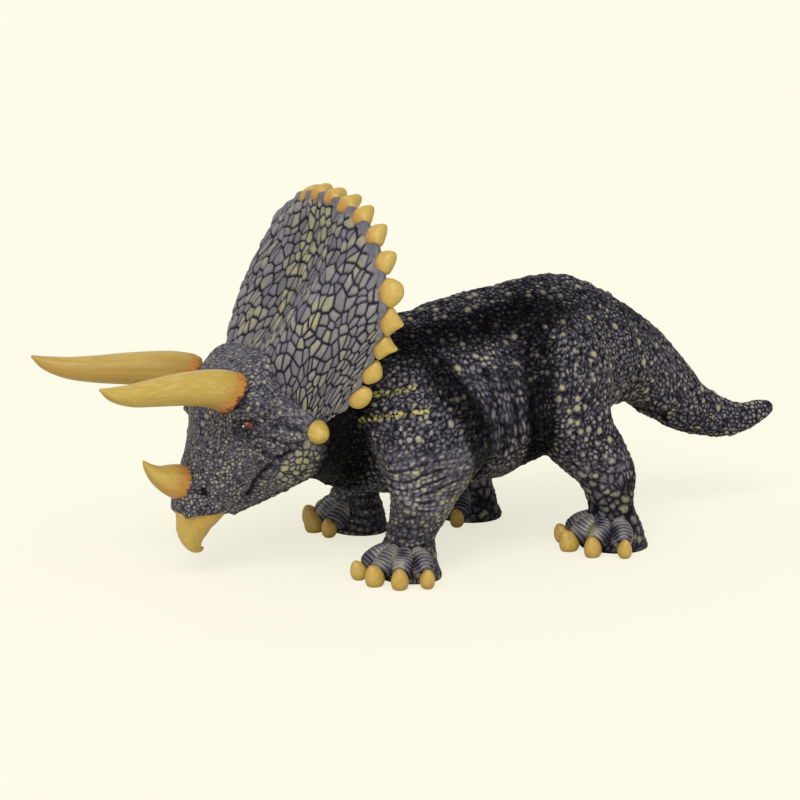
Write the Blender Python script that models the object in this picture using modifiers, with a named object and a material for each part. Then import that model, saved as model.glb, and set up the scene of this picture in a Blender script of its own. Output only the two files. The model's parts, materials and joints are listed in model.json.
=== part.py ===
"""Moulded figure of a three-horned, frilled dinosaur that walks with its head held low.

The figure is an assembly of glued mouldings: a hollow trunk in two shells, a tail, four legs that are
pegged into seats in the trunk, a head on a neck spigot, and the frill, jaw, beak, horns and eyes that
are set into the head.  Nothing on it moves.

Metres, +Z up.  The head is towards -X and the animal's left side towards -Y.  The origin is on the
ground under the middle of the figure.
"""

import math

import bmesh
import bpy
import numpy as np
from mathutils import Matrix, Vector

# Fits and walls

GLUE_GAP = 0.0003  # left between two glued faces
SEAT_DEPTH = 0.0012  # how deep a leg's root is let into the trunk
WALL = 0.0030  # wall of the hollow trunk
OVERRUN = 0.0020  # how far a cutter passes what it cuts
MERGE_DISTANCE = 0.00002
PEG_RADIUS = 0.0026  # leg pegs
PEG_REACH = 0.0058  # length of a leg peg inside the flank
PIN_RADIUS = 0.0005  # locating pins of the trunk shells
PIN_REACH = 0.0018

# Trunk, from the neck joint to the tail joint

TRUNK_FRONT_X = -0.0250
TRUNK_LENGTH = 0.0630
TRUNK_WIDTH = 0.0430
TRUNK_DEPTH = 0.0390
BELLY_HEIGHT = 0.0124
NECK_SPIGOT_RADIUS = 0.0048
NECK_SPIGOT_REACH = 0.0060
TAIL_SPIGOT_RADIUS = 0.0042
TAIL_SPIGOT_REACH = 0.0060

# Each row: length, top, bottom, widest height, half width, pinch of the back ridge
TRUNK_SHARES = (
    (0.000, 0.815, 0.079, 0.451, 0.570, 0.20),
    (0.095, 0.842, 0.026, 0.426, 0.680, 0.22),
    (0.238, 0.885, 0.000, 0.395, 0.830, 0.24),
    (0.397, 0.930, 0.000, 0.370, 0.930, 0.26),
    (0.556, 0.970, 0.035, 0.370, 1.000, 0.28),
    (0.683, 0.993, 0.110, 0.400, 0.960, 0.30),
    (0.810, 1.000, 0.185, 0.450, 0.830, 0.28),
    (0.905, 0.972, 0.240, 0.520, 0.680, 0.22),
    (1.000, 0.890, 0.305, 0.590, 0.530, 0.12),
)
PIN_PLACE_SHARES = ((0.20, 1), (0.20, -1), (0.62, 1), (0.62, -1))

# Folds of the skin behind the shoulder and before the thigh: length at the back and at the belly
CREASE_SHARES = ((0.21, 0.38), (0.56, 0.61))
CREASE_DEPTH = 0.0010
CREASE_WIDTH = 0.0022

# Tail, from its joint with the trunk

TAIL_LENGTH = 0.0402
TAIL_DROP = 0.0212
TAIL_TURN_SHARE = 0.25  # length over which the sections turn square to the tail
# Each row: length, height left of the drop, radius as a share of the joint's half height
TAIL_SHARES = (
    (0.000, 1.000, 1.000),
    (0.100, 0.920, 0.855),
    (0.215, 0.760, 0.720),
    (0.345, 0.530, 0.595),
    (0.470, 0.330, 0.490),
    (0.590, 0.205, 0.400),
    (0.710, 0.135, 0.325),
    (0.825, 0.135, 0.250),
    (0.920, 0.185, 0.180),
    (0.980, 0.215, 0.120),
    (1.000, 0.225, 0.050),
)

# Legs: places on the trunk are shares of its length and half width

# From the mid-plane to the middle of the left and the right foot
FORE_SPREADS = (0.0183, 0.0176)
HIND_SPREADS = (0.0178, 0.0160)
FOOT_RADIUS = 0.0083
FORE_TOP_RISE = 0.0290  # top of the shoulder form above the belly
HIND_TOP_RISE = 0.0335  # top of the thigh form above the belly
STRIDE_FORE = 0.0074  # how far the left forefoot stands ahead of the right one
STRIDE_HIND = 0.0140  # how far the right hind foot stands ahead of the left one
SHOULDER_LENGTH = 0.0250
THIGH_LENGTH = 0.0245
FORE_PLACE_SHARE = 0.245
HIND_PLACE_SHARE = 0.690
# Each row: height, forward shift, stride part, side part (0 hip, 1 foot), half length, half width
FORELEG_SHARES = (
    (0.000, -0.105, 0.50, 1.00, 0.240, 0.285),
    (0.085, -0.105, 0.50, 1.00, 0.240, 0.285),
    (0.185, -0.085, 0.46, 1.00, 0.195, 0.225),
    (0.300, -0.040, 0.38, 0.97, 0.230, 0.238),
    (0.430, 0.020, 0.25, 0.88, 0.335, 0.262),
    (0.560, 0.095, 0.12, 0.71, 0.480, 0.282),
    (0.720, 0.060, 0.03, 0.46, 0.510, 0.272),
    (0.870, 0.010, 0.00, 0.20, 0.430, 0.220),
    (0.960, 0.000, 0.00, 0.06, 0.320, 0.140),
    (1.000, 0.000, 0.00, 0.00, 0.170, 0.060),
)
HINDLEG_SHARES = (
    (0.000, 0.190, 0.50, 1.00, 0.270, 0.290),
    (0.075, 0.190, 0.50, 1.00, 0.270, 0.290),
    (0.170, 0.205, 0.48, 0.99, 0.200, 0.230),
    (0.260, 0.200, 0.42, 0.97, 0.228, 0.232),
    (0.345, 0.165, 0.34, 0.93, 0.310, 0.248),
    (0.450, 0.085, 0.22, 0.84, 0.378, 0.284),
    (0.600, -0.030, 0.10, 0.72, 0.412, 0.305),
    (0.780, -0.033, 0.02, 0.51, 0.475, 0.280),
    (0.900, -0.010, 0.00, 0.26, 0.410, 0.195),
    (0.970, 0.000, 0.00, 0.08, 0.300, 0.120),
    (1.000, 0.000, 0.00, 0.00, 0.160, 0.050),
)
FORE_ROOT_SHARE = 0.52  # side place of the shoulder's middle, of the trunk's half width
HIND_ROOT_SHARE = 0.44
LEG_PEG_RISE_SHARE = 0.66  # height of a leg's peg, of the shoulder's or the thigh's rise
TOE_COUNT = 4
TOE_LENGTH = 0.0046
TOE_WIDTH = 0.0023
TOE_HEIGHT = 0.0030
TOE_SET_SHARE = 0.33  # how far a toe's middle lies inside the foot's edge, of its length
NAIL_LENGTH = 0.0020
NAIL_WIDTH = 0.0018
NAIL_HEIGHT = 0.0026
NAIL_RISE_SHARE = 0.60  # height of a nail's middle, of its own height
TOE_SLOPE = math.radians(24)
FORE_TOE_STEP = math.radians(30)
HIND_TOE_STEP = math.radians(36)
FORE_TOE_OUT_LEFT = math.radians(37)
FORE_TOE_OUT_RIGHT = math.radians(22)
HIND_TOE_OUT = math.radians(17)

# Head, from the neck joint down to the beak

HEAD_REACH = 0.0290  # neck joint to the middle of the beak joint
HEAD_DROP = 0.0200
HEAD_WIDTH = 0.0280
HEAD_DEPTH = 0.0310
# Each row: reach, drop, tilt of the section, up, down, half width, pinch of the top
HEAD_SHARES = (
    (0.000, 0.000, 0.00, 0.468, 0.468, 0.875, 0.20),
    (0.200, -0.020, 0.25, 0.475, 0.455, 0.945, 0.22),
    (0.390, 0.065, 0.52, 0.500, 0.430, 1.000, 0.02),
    (0.560, 0.215, 0.76, 0.495, 0.405, 0.920, -0.22),
    (0.715, 0.420, 0.96, 0.285, 0.365, 0.690, -0.12),
    (0.855, 0.640, 1.00, 0.200, 0.262, 0.490, 0.10),
    (0.950, 0.800, 1.00, 0.150, 0.165, 0.385, 0.10),
    (1.050, 0.960, 1.00, 0.075, 0.085, 0.250, 0.10),
)
HEAD_TILT = math.radians(50)
JAW_THICKNESS = 0.0046
JAW_LENGTH = 0.0165
JAW_SLOPE = math.radians(30)
JAW_PEG_RADIUS = 0.0011
JAW_PEG_REACH = 0.0026
JAW_PEG_PLACE_SHARE = 0.34  # how far the jaw's peg lies from the beak, of the jaw's length

# Beak, below its joint with the snout

BEAK_PLACE_SHARES = (0.900, 0.890)  # of the head's reach and drop
BEAK_JOINT_LENGTH = 0.0112
BEAK_DEPTH = 0.0073
BEAK_WIDTH = 0.0094
BEAK_PEG_RADIUS = 0.0015
BEAK_PEG_REACH = 0.0032
# Each row: forward of the joint's middle, depth, half length, half width
BEAK_SHARES = (
    (0.000, 0.00, 0.500, 1.000),
    (0.090, 0.22, 0.370, 0.830),
    (0.135, 0.42, 0.290, 0.660),
    (0.140, 0.62, 0.235, 0.480),
    (0.110, 0.80, 0.160, 0.320),
    (0.060, 0.93, 0.095, 0.180),
    (0.030, 1.00, 0.030, 0.060),
)

# Horns and eyes: places are shares of the head's own sizes, measured from the neck joint

BROW_HORN_LENGTH = 0.0322
BROW_HORN_RADIUS = 0.0039
BROW_HORN_RISE = 0.0051
BROW_HORN_SPLAY = 0.0070
BROW_HORN_PLACE_SHARES = (0.730, 0.657, 0.242)
# Each row: length, rise, splay, radius
BROW_HORN_SHARES = (
    (0.000, 0.000, 0.00, 0.88),
    (0.190, 0.230, 0.18, 0.94),
    (0.420, 0.390, 0.42, 0.82),
    (0.615, 0.450, 0.60, 0.70),
    (0.785, 0.530, 0.79, 0.56),
    (0.915, 0.730, 0.92, 0.36),
    (1.000, 1.000, 1.00, 0.07),
)
NOSE_HORN_LENGTH = 0.0096
NOSE_HORN_RISE = 0.0058
NOSE_HORN_RADIUS = 0.0033
NOSE_HORN_PLACE_SHARES = (0.976, 0.590)
# Each row: length, rise, radius
NOSE_HORN_SHARES = (
    (0.000, 0.000, 0.95),
    (0.250, 0.150, 1.00),
    (0.490, 0.300, 0.84),
    (0.700, 0.470, 0.58),
    (0.870, 0.710, 0.32),
    (0.960, 0.900, 0.15),
    (1.000, 1.000, 0.05),
)
CHEEK_HORN_LENGTH = 0.0066
CHEEK_HORN_RADIUS = 0.0022
CHEEK_HORN_PLACE_SHARES = (0.290, 0.760, -0.005)
CHEEK_HORN_DROP_SHARE = 0.15  # how far the horn's tip lies below its root, of its length
# Each row: length, radius
CHEEK_HORN_SHARES = (
    (0.000, 1.000),
    (0.350, 1.050),
    (0.650, 0.980),
    (0.880, 0.680),
    (1.000, 0.260),
)
EYE_RADIUS = 0.0016
EYE_PLACE_SHARES = (0.735, 0.720, 0.035)

# Frill: a shield between a root line inside the skull and a free rim

FRILL_WIDTH = 0.0498
FRILL_HEIGHT = 0.0383
FRILL_DEPTH = 0.0205
FRILL_THICKNESS = 0.0026
FRILL_BASE_RISE = 0.0035  # lower end of the rim above the neck joint's middle
FRILL_PEG_RADIUS = 0.0018
FRILL_PEG_REACH = 0.0095
FRILL_PEG_PLACE_SHARE = 0.24  # where the peg leaves the shield, from its root to its rim
FRILL_PEG_BACK_SHARE = 0.35  # how far the peg runs back, of how far it runs down
# Each row: rim side, rim height, rim forward, root side, root height, root forward, sunk middle
FRILL_SHARES = (
    (0.650, 0.000, 0.160, 0.400, -0.175, 0.575, 0.00),
    (0.710, 0.070, 0.110, 0.420, -0.135, 0.625, -0.01),
    (0.785, 0.180, 0.050, 0.440, -0.085, 0.675, -0.02),
    (0.878, 0.310, -0.015, 0.440, -0.035, 0.735, -0.04),
    (0.965, 0.440, -0.030, 0.420, 0.005, 0.785, -0.06),
    (1.000, 0.540, -0.030, 0.385, 0.035, 0.825, -0.08),
    (0.965, 0.650, -0.030, 0.340, 0.057, 0.855, -0.11),
    (0.900, 0.750, -0.030, 0.290, 0.073, 0.880, -0.13),
    (0.815, 0.835, -0.030, 0.235, 0.086, 0.900, -0.11),
    (0.680, 0.908, -0.025, 0.180, 0.097, 0.915, -0.05),
    (0.490, 0.962, -0.015, 0.120, 0.107, 0.925, 0.04),
    (0.250, 0.990, -0.005, 0.060, 0.113, 0.932, 0.12),
    (0.000, 1.000, 0.000, 0.000, 0.115, 0.935, 0.16),
)
STUDS_A_SIDE = 10
STUD_LENGTH = 0.0021
STUD_WIDTH = 0.0025
STUD_THICKNESS = 0.0016
STUD_LEAN = math.radians(45)
STUD_BACK_SHARE = 0.55  # how far the studs sit behind the shield's front, of its thickness

# How finely the curved forms are divided

TRUNK_RINGS, TRUNK_SIDES = 28, 24
HOLLOW_RINGS, HOLLOW_SIDES = 8, 14
TAIL_RINGS, TAIL_SIDES = 14, 16
LEG_RINGS, LEG_SIDES = 15, 16
HEAD_RINGS, HEAD_SIDES = 16, 22
BEAK_SIDES = 14
HORN_RINGS, HORN_SIDES = 11, 10
FRILL_STEPS, FRILL_COLUMNS = 5, 15
PEG_SIDES, PIN_SIDES = 12, 8
TOE_SIDES, TOE_RINGS = 8, 6
STUD_SIDES, STUD_RINGS = 8, 4
EYE_SIDES, EYE_RINGS = 10, 6
SHARP_EDGE = math.radians(40)

SKIN, SKIN_ROUGHNESS = (0.115, 0.110, 0.135), 0.62
HORN, HORN_ROUGHNESS = (0.560, 0.360, 0.070), 0.42
IRIS, IRIS_ROUGHNESS = (0.190, 0.025, 0.015), 0.20


def empty_file():
    """Removes whatever objects the file holds."""
    for thing in list(bpy.data.objects):
        bpy.data.objects.remove(thing, do_unlink=True)


def make_collection(name):
    """A collection linked to the scene."""
    collection = bpy.data.collections.new(name)
    bpy.context.scene.collection.children.link(collection)
    return collection


def make_material(name, colour, roughness):
    """A plain painted plastic."""
    material = bpy.data.materials.new(name)
    material.use_nodes = True
    shader = material.node_tree.nodes["Principled BSDF"]
    shader.inputs["Base Color"].default_value = (*colour, 1.0)
    shader.inputs["Roughness"].default_value = roughness
    shader.inputs["Metallic"].default_value = 0.0
    return material


def make_object(name, mesh, collection, materials):
    """An object for a mesh, with its faces turned outwards and its round parts shaded smooth."""
    work = bmesh.new()
    work.from_mesh(mesh)
    bmesh.ops.recalc_face_normals(work, faces=work.faces)
    work.to_mesh(mesh)
    work.free()
    mesh.shade_smooth()
    mesh.set_sharp_from_angle(angle=SHARP_EDGE)
    for material in materials:
        mesh.materials.append(material)
    thing = bpy.data.objects.new(name, mesh)
    collection.objects.link(thing)
    return thing


def smooth(table, count):
    """Rows read at even steps from a Catmull-Rom curve through the rows of a table."""
    rows = np.array(table, float)
    rows = np.vstack([2 * rows[0] - rows[1], rows, 2 * rows[-1] - rows[-2]])
    place = np.linspace(0, len(rows) - 3, count)
    first = np.minimum(place.astype(int), len(rows) - 4)
    step = (place - first)[:, None]
    a, b, c, d = (rows[first + k] for k in range(4))
    bend = 2 * a - 5 * b + 4 * c - d
    twist = 3 * b - a - 3 * c + d
    return b + ((c - a) * step + bend * step**2 + twist * step**3) / 2


def ring(centre, across, upward, half_width, up, down, pinch, sides):
    """One closed section: two half ellipses that share a width, the upper one drawn in by pinch."""
    angle = 2 * math.pi * np.arange(sides) / sides
    side, rise = np.cos(angle), np.sin(angle)
    wide = half_width * side * (1 - pinch * np.maximum(rise, 0) ** 2)
    high = np.where(rise >= 0, up, down) * rise
    return np.array(centre) + np.outer(wide, across) + np.outer(high, upward)


def loft(name, rings, collection, materials):
    """A closed solid through rings that all have the same number of points."""
    count, sides = len(rings), len(rings[0])
    faces = [tuple(range(sides)), tuple((count - 1) * sides + k for k in range(sides))]
    for row in range(count - 1):
        for k in range(sides):
            near, far = row * sides, (row + 1) * sides
            turn = (k + 1) % sides
            faces.append((near + k, near + turn, far + turn, far + k))
    mesh = bpy.data.meshes.new(name)
    mesh.from_pydata(np.concatenate(rings).tolist(), [], faces)
    return make_object(name, mesh, collection, materials)


def tube(name, points, radii, collection, materials):
    """A round solid along a path that never runs upright."""
    ways = np.gradient(points, axis=0)
    ways /= np.linalg.norm(ways, axis=1)[:, None]
    rings = []
    for point, way, radius in zip(points, ways, radii):
        across = np.cross((0, 0, 1), way)
        across /= np.linalg.norm(across)
        upward = np.cross(way, across)
        rings.append(ring(point, across, upward, radius, radius, radius, 0, HORN_SIDES))
    return loft(name, rings, collection, materials)


def bar(name, start, end, radius, collection, materials, sides=PEG_SIDES):
    """A cylinder between two points."""
    start, end = Vector(start), Vector(end)
    work = bmesh.new()
    turn = (end - start).to_track_quat("Z", "Y").to_matrix().to_4x4()
    place = Matrix.Translation((start + end) / 2) @ turn
    bmesh.ops.create_cone(
        work, cap_ends=True, segments=sides, radius1=radius, radius2=radius,
        depth=(end - start).length, matrix=place,
    )
    mesh = bpy.data.meshes.new(name)
    work.to_mesh(mesh)
    work.free()
    return make_object(name, mesh, collection, materials)


def block(name, low, high, collection):
    """A box between two corners."""
    low, high = Vector(low), Vector(high)
    work = bmesh.new()
    size = Matrix.Diagonal((*(high - low), 1.0))
    bmesh.ops.create_cube(work, size=1.0, matrix=Matrix.Translation((low + high) / 2) @ size)
    mesh = bpy.data.meshes.new(name)
    work.to_mesh(mesh)
    work.free()
    return make_object(name, mesh, collection, ())


def eggs(name, places, collection, materials, slot=0, sides=TOE_SIDES, rings=TOE_RINGS):
    """Egg shapes joined in one mesh; each place is a matrix that carries a ball of radius 1."""
    work = bmesh.new()
    for place in places:
        bmesh.ops.create_uvsphere(
            work, u_segments=sides, v_segments=rings, radius=1.0, matrix=place
        )
    for face in work.faces:
        face.material_index = slot
    mesh = bpy.data.meshes.new(name)
    work.to_mesh(mesh)
    work.free()
    return make_object(name, mesh, collection, materials)


def boolean(target, other, operation):
    """Adds a Boolean modifier of one object on another."""
    change = target.modifiers.new(operation.title(), "BOOLEAN")
    change.operation = operation
    change.solver = "EXACT"
    change.object = other


def cut(target, *others):
    for other in others:
        boolean(target, other, "DIFFERENCE")


def join(target, *others):
    for other in others:
        boolean(target, other, "UNION")


def keep(target, *others):
    for other in others:
        boolean(target, other, "INTERSECT")


def weld(target):
    """Closes the hair-thin faces that are left where three surfaces cut each other."""
    change = target.modifiers.new("Weld", "WELD")
    change.merge_threshold = MERGE_DISTANCE


def trunk_rows(count):
    """Sections of the trunk: x, top, bottom, widest height, half width and pinch."""
    rows = smooth(TRUNK_SHARES, count)
    rows[:, 0] = TRUNK_FRONT_X + rows[:, 0] * TRUNK_LENGTH
    rows[:, 1:4] = BELLY_HEIGHT + rows[:, 1:4] * TRUNK_DEPTH
    rows[:, 4] *= TRUNK_WIDTH / 2
    return rows


def crease(section, half_width):
    """Draws a section of the trunk in where a fold of the skin crosses it."""
    height = (section[:, 2] - BELLY_HEIGHT) / TRUNK_DEPTH
    for back_share, belly_share in CREASE_SHARES:
        line = TRUNK_FRONT_X + TRUNK_LENGTH * (belly_share + (back_share - belly_share) * height)
        fold = CREASE_DEPTH * np.exp(-(((section[:, 0] - line) / CREASE_WIDTH) ** 2))
        section[:, 1] *= 1 - fold / half_width
    return section


def trunk_form(name, inset, count, sides, collection, materials, end_inset):
    """The trunk's outer form, or the same form drawn in by inset."""
    rows = trunk_rows(count)
    rows[0, 0] += end_inset
    rows[-1, 0] -= end_inset
    rings = []
    for x, top, bottom, widest, half, pinch in rows:
        centre = (x, 0, widest)
        up, down = top - widest - inset, widest - bottom - inset
        section = ring(centre, (0, 1, 0), (0, 0, 1), half - inset, up, down, pinch, sides)
        rings.append(crease(section, half))
    return loft(name, rings, collection, materials)


def trunk_at(x):
    """Top, bottom, widest height, half width and pinch of the trunk at a place along it."""
    rows = trunk_rows(TRUNK_RINGS)
    return [float(np.interp(x, rows[:, 0], rows[:, k])) for k in range(1, 6)]


def flank(x, height):
    """Half width of the trunk at a place along it and a height."""
    top, bottom, widest, half, pinch = trunk_at(x)
    reach = top - widest if height > widest else widest - bottom
    rise = min(abs(height - widest) / reach, 1.0)
    drawn = pinch * rise**2 if height > widest else 0.0
    return half * math.sqrt(1 - rise**2) * (1 - drawn)


def neck_centre():
    """Middle of the neck joint."""
    return np.array((TRUNK_FRONT_X, 0.0, trunk_at(TRUNK_FRONT_X)[2]))


def head_form(name, grow, collection, materials):
    """The skull with its neck stub, as one form that the jaw and the beak are later cut from."""
    start = neck_centre()
    rings = []
    for number, row in enumerate(smooth(HEAD_SHARES, HEAD_RINGS)):
        reach, drop, turn, up, down, half, pinch = row
        tilt = turn * HEAD_TILT
        shift = -GLUE_GAP if number == 0 else 0.0
        centre = start + np.array((shift - reach * HEAD_REACH, 0, -drop * HEAD_DROP))
        upward = np.array((-math.sin(tilt), 0, math.cos(tilt)))
        rings.append(
            ring(
                centre, (0, 1, 0), upward, half * HEAD_WIDTH / 2 + grow,
                up * HEAD_DEPTH + grow, down * HEAD_DEPTH + grow, pinch, HEAD_SIDES,
            )
        )
    return loft(name, rings, collection, materials)


def head_place(reach, side, rise):
    """A point given by shares of the head's reach, half width and depth from the neck joint."""
    start = neck_centre()
    return start + np.array((-reach * HEAD_REACH, side * HEAD_WIDTH / 2, rise * HEAD_DEPTH))


def leg_rows(table, place_share, root_share, length, top_rise, stride, way, spread, side):
    """Sections of one leg: centre, half length and half width, from the sole upwards."""
    rows = smooth(table, LEG_RINGS)
    top = BELLY_HEIGHT + top_rise
    hip_x = TRUNK_FRONT_X + place_share * TRUNK_LENGTH
    hip_y = root_share * trunk_at(hip_x)[3]
    found = []
    for height, forward, stride_part, side_part, half_length, half_width in rows:
        x = hip_x + forward * length - way * stride_part * stride
        y = side * (hip_y + side_part * (spread - hip_y))
        found.append((x, y, height * top, half_length * length, half_width * length))
    return np.array(found)


def leg_form(name, rows, grow, collection, materials):
    """One leg without its toes."""
    rings = []
    for number, (x, y, z, half_length, half_width) in enumerate(rows):
        last = number == len(rows) - 1
        z = z + grow if last else z
        z = z - OVERRUN if number == 0 else z
        long, wide = half_length + grow, half_width + grow
        rings.append(ring((x, y, z), (1, 0, 0), (0, 1, 0), long, wide, wide, 0, LEG_SIDES))
    return loft(name, rings, collection, materials)


def toe_places(foot, side, out, step):
    """Where a foot's toes and nails lie, as matrices for balls of radius 1."""
    toes, nails = [], []
    toe_size = Matrix.Diagonal((TOE_LENGTH, TOE_WIDTH, TOE_HEIGHT, 1))
    nail_size = Matrix.Diagonal((NAIL_LENGTH, NAIL_WIDTH, NAIL_HEIGHT, 1))
    slope = Matrix.Rotation(TOE_SLOPE, 4, "Y")
    for number in range(TOE_COUNT):
        angle = out + (number - (TOE_COUNT - 1) / 2) * step
        way = Vector((-math.cos(angle), side * math.sin(angle), 0))
        turn = Matrix.Rotation(math.atan2(way.y, way.x), 4, "Z") @ slope
        middle = foot + way * (FOOT_RADIUS - TOE_SET_SHARE * TOE_LENGTH)
        middle += Vector((0, 0, TOE_HEIGHT))
        toes.append(Matrix.Translation(middle) @ turn @ toe_size)
        tip = foot + way * (FOOT_RADIUS + NAIL_LENGTH)
        tip += Vector((0, 0, NAIL_RISE_SHARE * NAIL_HEIGHT))
        nails.append(Matrix.Translation(tip) @ turn @ nail_size)
    return toes, nails


def build_leg(name, rows, side, out, step, peg_height, shared):
    """A leg moulding, and the cutters that its seat in the trunk needs."""
    parts, cutters, skin, horn = shared["parts"], shared["cutters"], shared["skin"], shared["horn"]
    both = (skin, horn)
    leg = leg_form(name, rows, 0, parts, both)
    toes, nails = toe_places(Vector((rows[0][0], rows[0][1], 0)), side, out, step)
    # Every other toe, because neighbours run into each other
    join(leg, eggs(f"{name}_toes_odd", toes[0::2], cutters, both))
    join(leg, eggs(f"{name}_toes_even", toes[1::2], cutters, both))
    join(leg, eggs(f"{name}_nails", nails, cutters, both, slot=1))
    cut(leg, shared["seat_for_legs"], shared["ground"])

    peg_x = rows[-1][0]
    outer = flank(peg_x, peg_height)
    root = (peg_x, side * outer, peg_height)
    tip = (peg_x, side * (outer - PEG_REACH), peg_height)
    join(leg, bar(f"{name}_peg", root, tip, PEG_RADIUS, cutters, (skin,)))

    recess = leg_form(f"{name}_recess", rows, GLUE_GAP, cutters, ())
    cut(recess, shared["seat_floor"])
    tip = (peg_x, side * (outer - PEG_REACH - OVERRUN), peg_height)
    hole = bar(f"{name}_peg_hole", root, tip, PEG_RADIUS + GLUE_GAP, cutters, ())
    return recess, hole


def build_legs(shared):
    """All four legs; the result lists each leg's cutters by the trunk side that they belong to."""
    cutters = {-1: [], 1: []}
    kinds = (
        ("foreleg", FORELEG_SHARES, FORE_PLACE_SHARE, FORE_ROOT_SHARE, SHOULDER_LENGTH,
         FORE_TOP_RISE, STRIDE_FORE, 1, FORE_SPREADS, FORE_TOE_STEP, FORE_TOE_OUT_LEFT,
         FORE_TOE_OUT_RIGHT),
        ("hindleg", HINDLEG_SHARES, HIND_PLACE_SHARE, HIND_ROOT_SHARE, THIGH_LENGTH,
         HIND_TOP_RISE, STRIDE_HIND, -1, HIND_SPREADS, HIND_TOE_STEP, HIND_TOE_OUT,
         HIND_TOE_OUT),
    )
    for kind, table, place, root, length, rise, stride, lead, spreads, step, *outs in kinds:
        for side, side_name, spread, out in zip((-1, 1), ("left", "right"), spreads, outs):
            way = -lead * side
            rows = leg_rows(table, place, root, length, rise, stride, way, spread, side)
            peg_height = BELLY_HEIGHT + LEG_PEG_RISE_SHARE * rise
            name = f"{kind}_{side_name}"
            cutters[side] += build_leg(name, rows, side, out, step, peg_height, shared)
    return cutters


def build_trunk(leg_cutters, shared):
    """The two trunk shells, with their locating pins and sockets."""
    parts, cutters, skin = shared["parts"], shared["cutters"], shared["skin"]
    hollow = trunk_form("trunk_hollow", WALL, HOLLOW_RINGS, HOLLOW_SIDES, cutters, (), WALL)
    start = neck_centre()
    end_x = TRUNK_FRONT_X + TRUNK_LENGTH
    tail_z = trunk_at(end_x)[2]
    neck_hole = bar(
        "neck_hole", start - (OVERRUN, 0, 0), start + (NECK_SPIGOT_REACH + OVERRUN, 0, 0),
        NECK_SPIGOT_RADIUS + GLUE_GAP, cutters, (),
    )
    tail_hole = bar(
        "tail_hole", (end_x - TAIL_SPIGOT_REACH - OVERRUN, 0, tail_z),
        (end_x + OVERRUN, 0, tail_z), TAIL_SPIGOT_RADIUS + GLUE_GAP, cutters, (),
    )
    pins, sockets = [], []
    for number, (along, way) in enumerate(PIN_PLACE_SHARES):
        x = TRUNK_FRONT_X + along * TRUNK_LENGTH
        top, bottom = trunk_at(x)[:2]
        z = top - WALL / 2 if way > 0 else bottom + WALL / 2
        pins.append(
            bar(f"pin_{number}", (x, -PIN_REACH, z), (x, PIN_REACH, z), PIN_RADIUS, cutters,
                (skin,), PIN_SIDES)
        )
        sockets.append(
            bar(f"pin_socket_{number}", (x, -PIN_REACH, z), (x, PIN_REACH + GLUE_GAP, z),
                PIN_RADIUS + GLUE_GAP, cutters, (), PIN_SIDES)
        )
    high = BELLY_HEIGHT + TRUNK_DEPTH + OVERRUN
    for side, name in ((-1, "torso_left_shell"), (1, "torso_right_shell")):
        shell = trunk_form(name, 0, TRUNK_RINGS, TRUNK_SIDES, parts, (skin,), 0)
        edges = sorted((side * GLUE_GAP / 2, side * TRUNK_WIDTH))
        half = block(
            f"{name}_side", (TRUNK_FRONT_X - OVERRUN, edges[0], -OVERRUN),
            (end_x + OVERRUN, edges[1], high), cutters,
        )
        keep(shell, half)
        cut(shell, hollow, neck_hole, tail_hole, *leg_cutters[side])
        if side < 0:
            join(shell, *pins)
        else:
            cut(shell, *sockets)


def build_tail(shared):
    """The tail and its spigot."""
    parts, cutters, skin = shared["parts"], shared["cutters"], shared["skin"]
    root_x = TRUNK_FRONT_X + TRUNK_LENGTH
    top, bottom, widest, half, pinch = trunk_at(root_x)
    rows = smooth(TAIL_SHARES, TAIL_RINGS)
    x = root_x + GLUE_GAP + rows[:, 0] * TAIL_LENGTH
    z = widest - TAIL_DROP + rows[:, 1] * TAIL_DROP
    path = np.stack([x, np.zeros(TAIL_RINGS), z], 1)
    ways = np.gradient(path, axis=0)
    ways[:, 0] = np.maximum(ways[:, 0], 0)
    ways /= np.linalg.norm(ways, axis=1)[:, None]
    turn = np.clip(rows[:, :1] / TAIL_TURN_SHARE, 0, 1)
    ways = turn * ways + (1 - turn) * np.array((1.0, 0.0, 0.0))
    ways /= np.linalg.norm(ways, axis=1)[:, None]
    rings = []
    for centre, way, (_, _, share) in zip(path, ways, rows):
        upward = np.cross(way, (0, 1, 0))
        up, down, wide = share * (top - widest), share * (widest - bottom), share * half
        rings.append(ring(centre, (0, 1, 0), upward * np.sign(upward[2]), wide, up, down,
                          pinch, TAIL_SIDES))
    tail = loft("tail", rings, parts, (skin,))
    inner = root_x - TAIL_SPIGOT_REACH
    outer = root_x + TAIL_SPIGOT_RADIUS
    spigot = bar("tail_spigot", (inner, 0, widest), (outer, 0, widest), TAIL_SPIGOT_RADIUS,
                 cutters, (skin,))
    join(tail, spigot)


def beak_joint():
    """Middle of the flat joint between the snout and the beak."""
    reach, drop = BEAK_PLACE_SHARES
    return neck_centre() + np.array((-reach * HEAD_REACH, 0, -drop * HEAD_DROP))


def mouth_line():
    """Where the mouth line starts behind the beak, its way back and the way square to it."""
    joint = beak_joint()
    start = np.array((joint[0] + BEAK_JOINT_LENGTH / 2, 0, joint[2]))
    along = np.array((math.cos(JAW_SLOPE), 0, math.sin(JAW_SLOPE)))
    square = np.array((-along[2], 0, along[0]))
    return start, along, square


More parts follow.
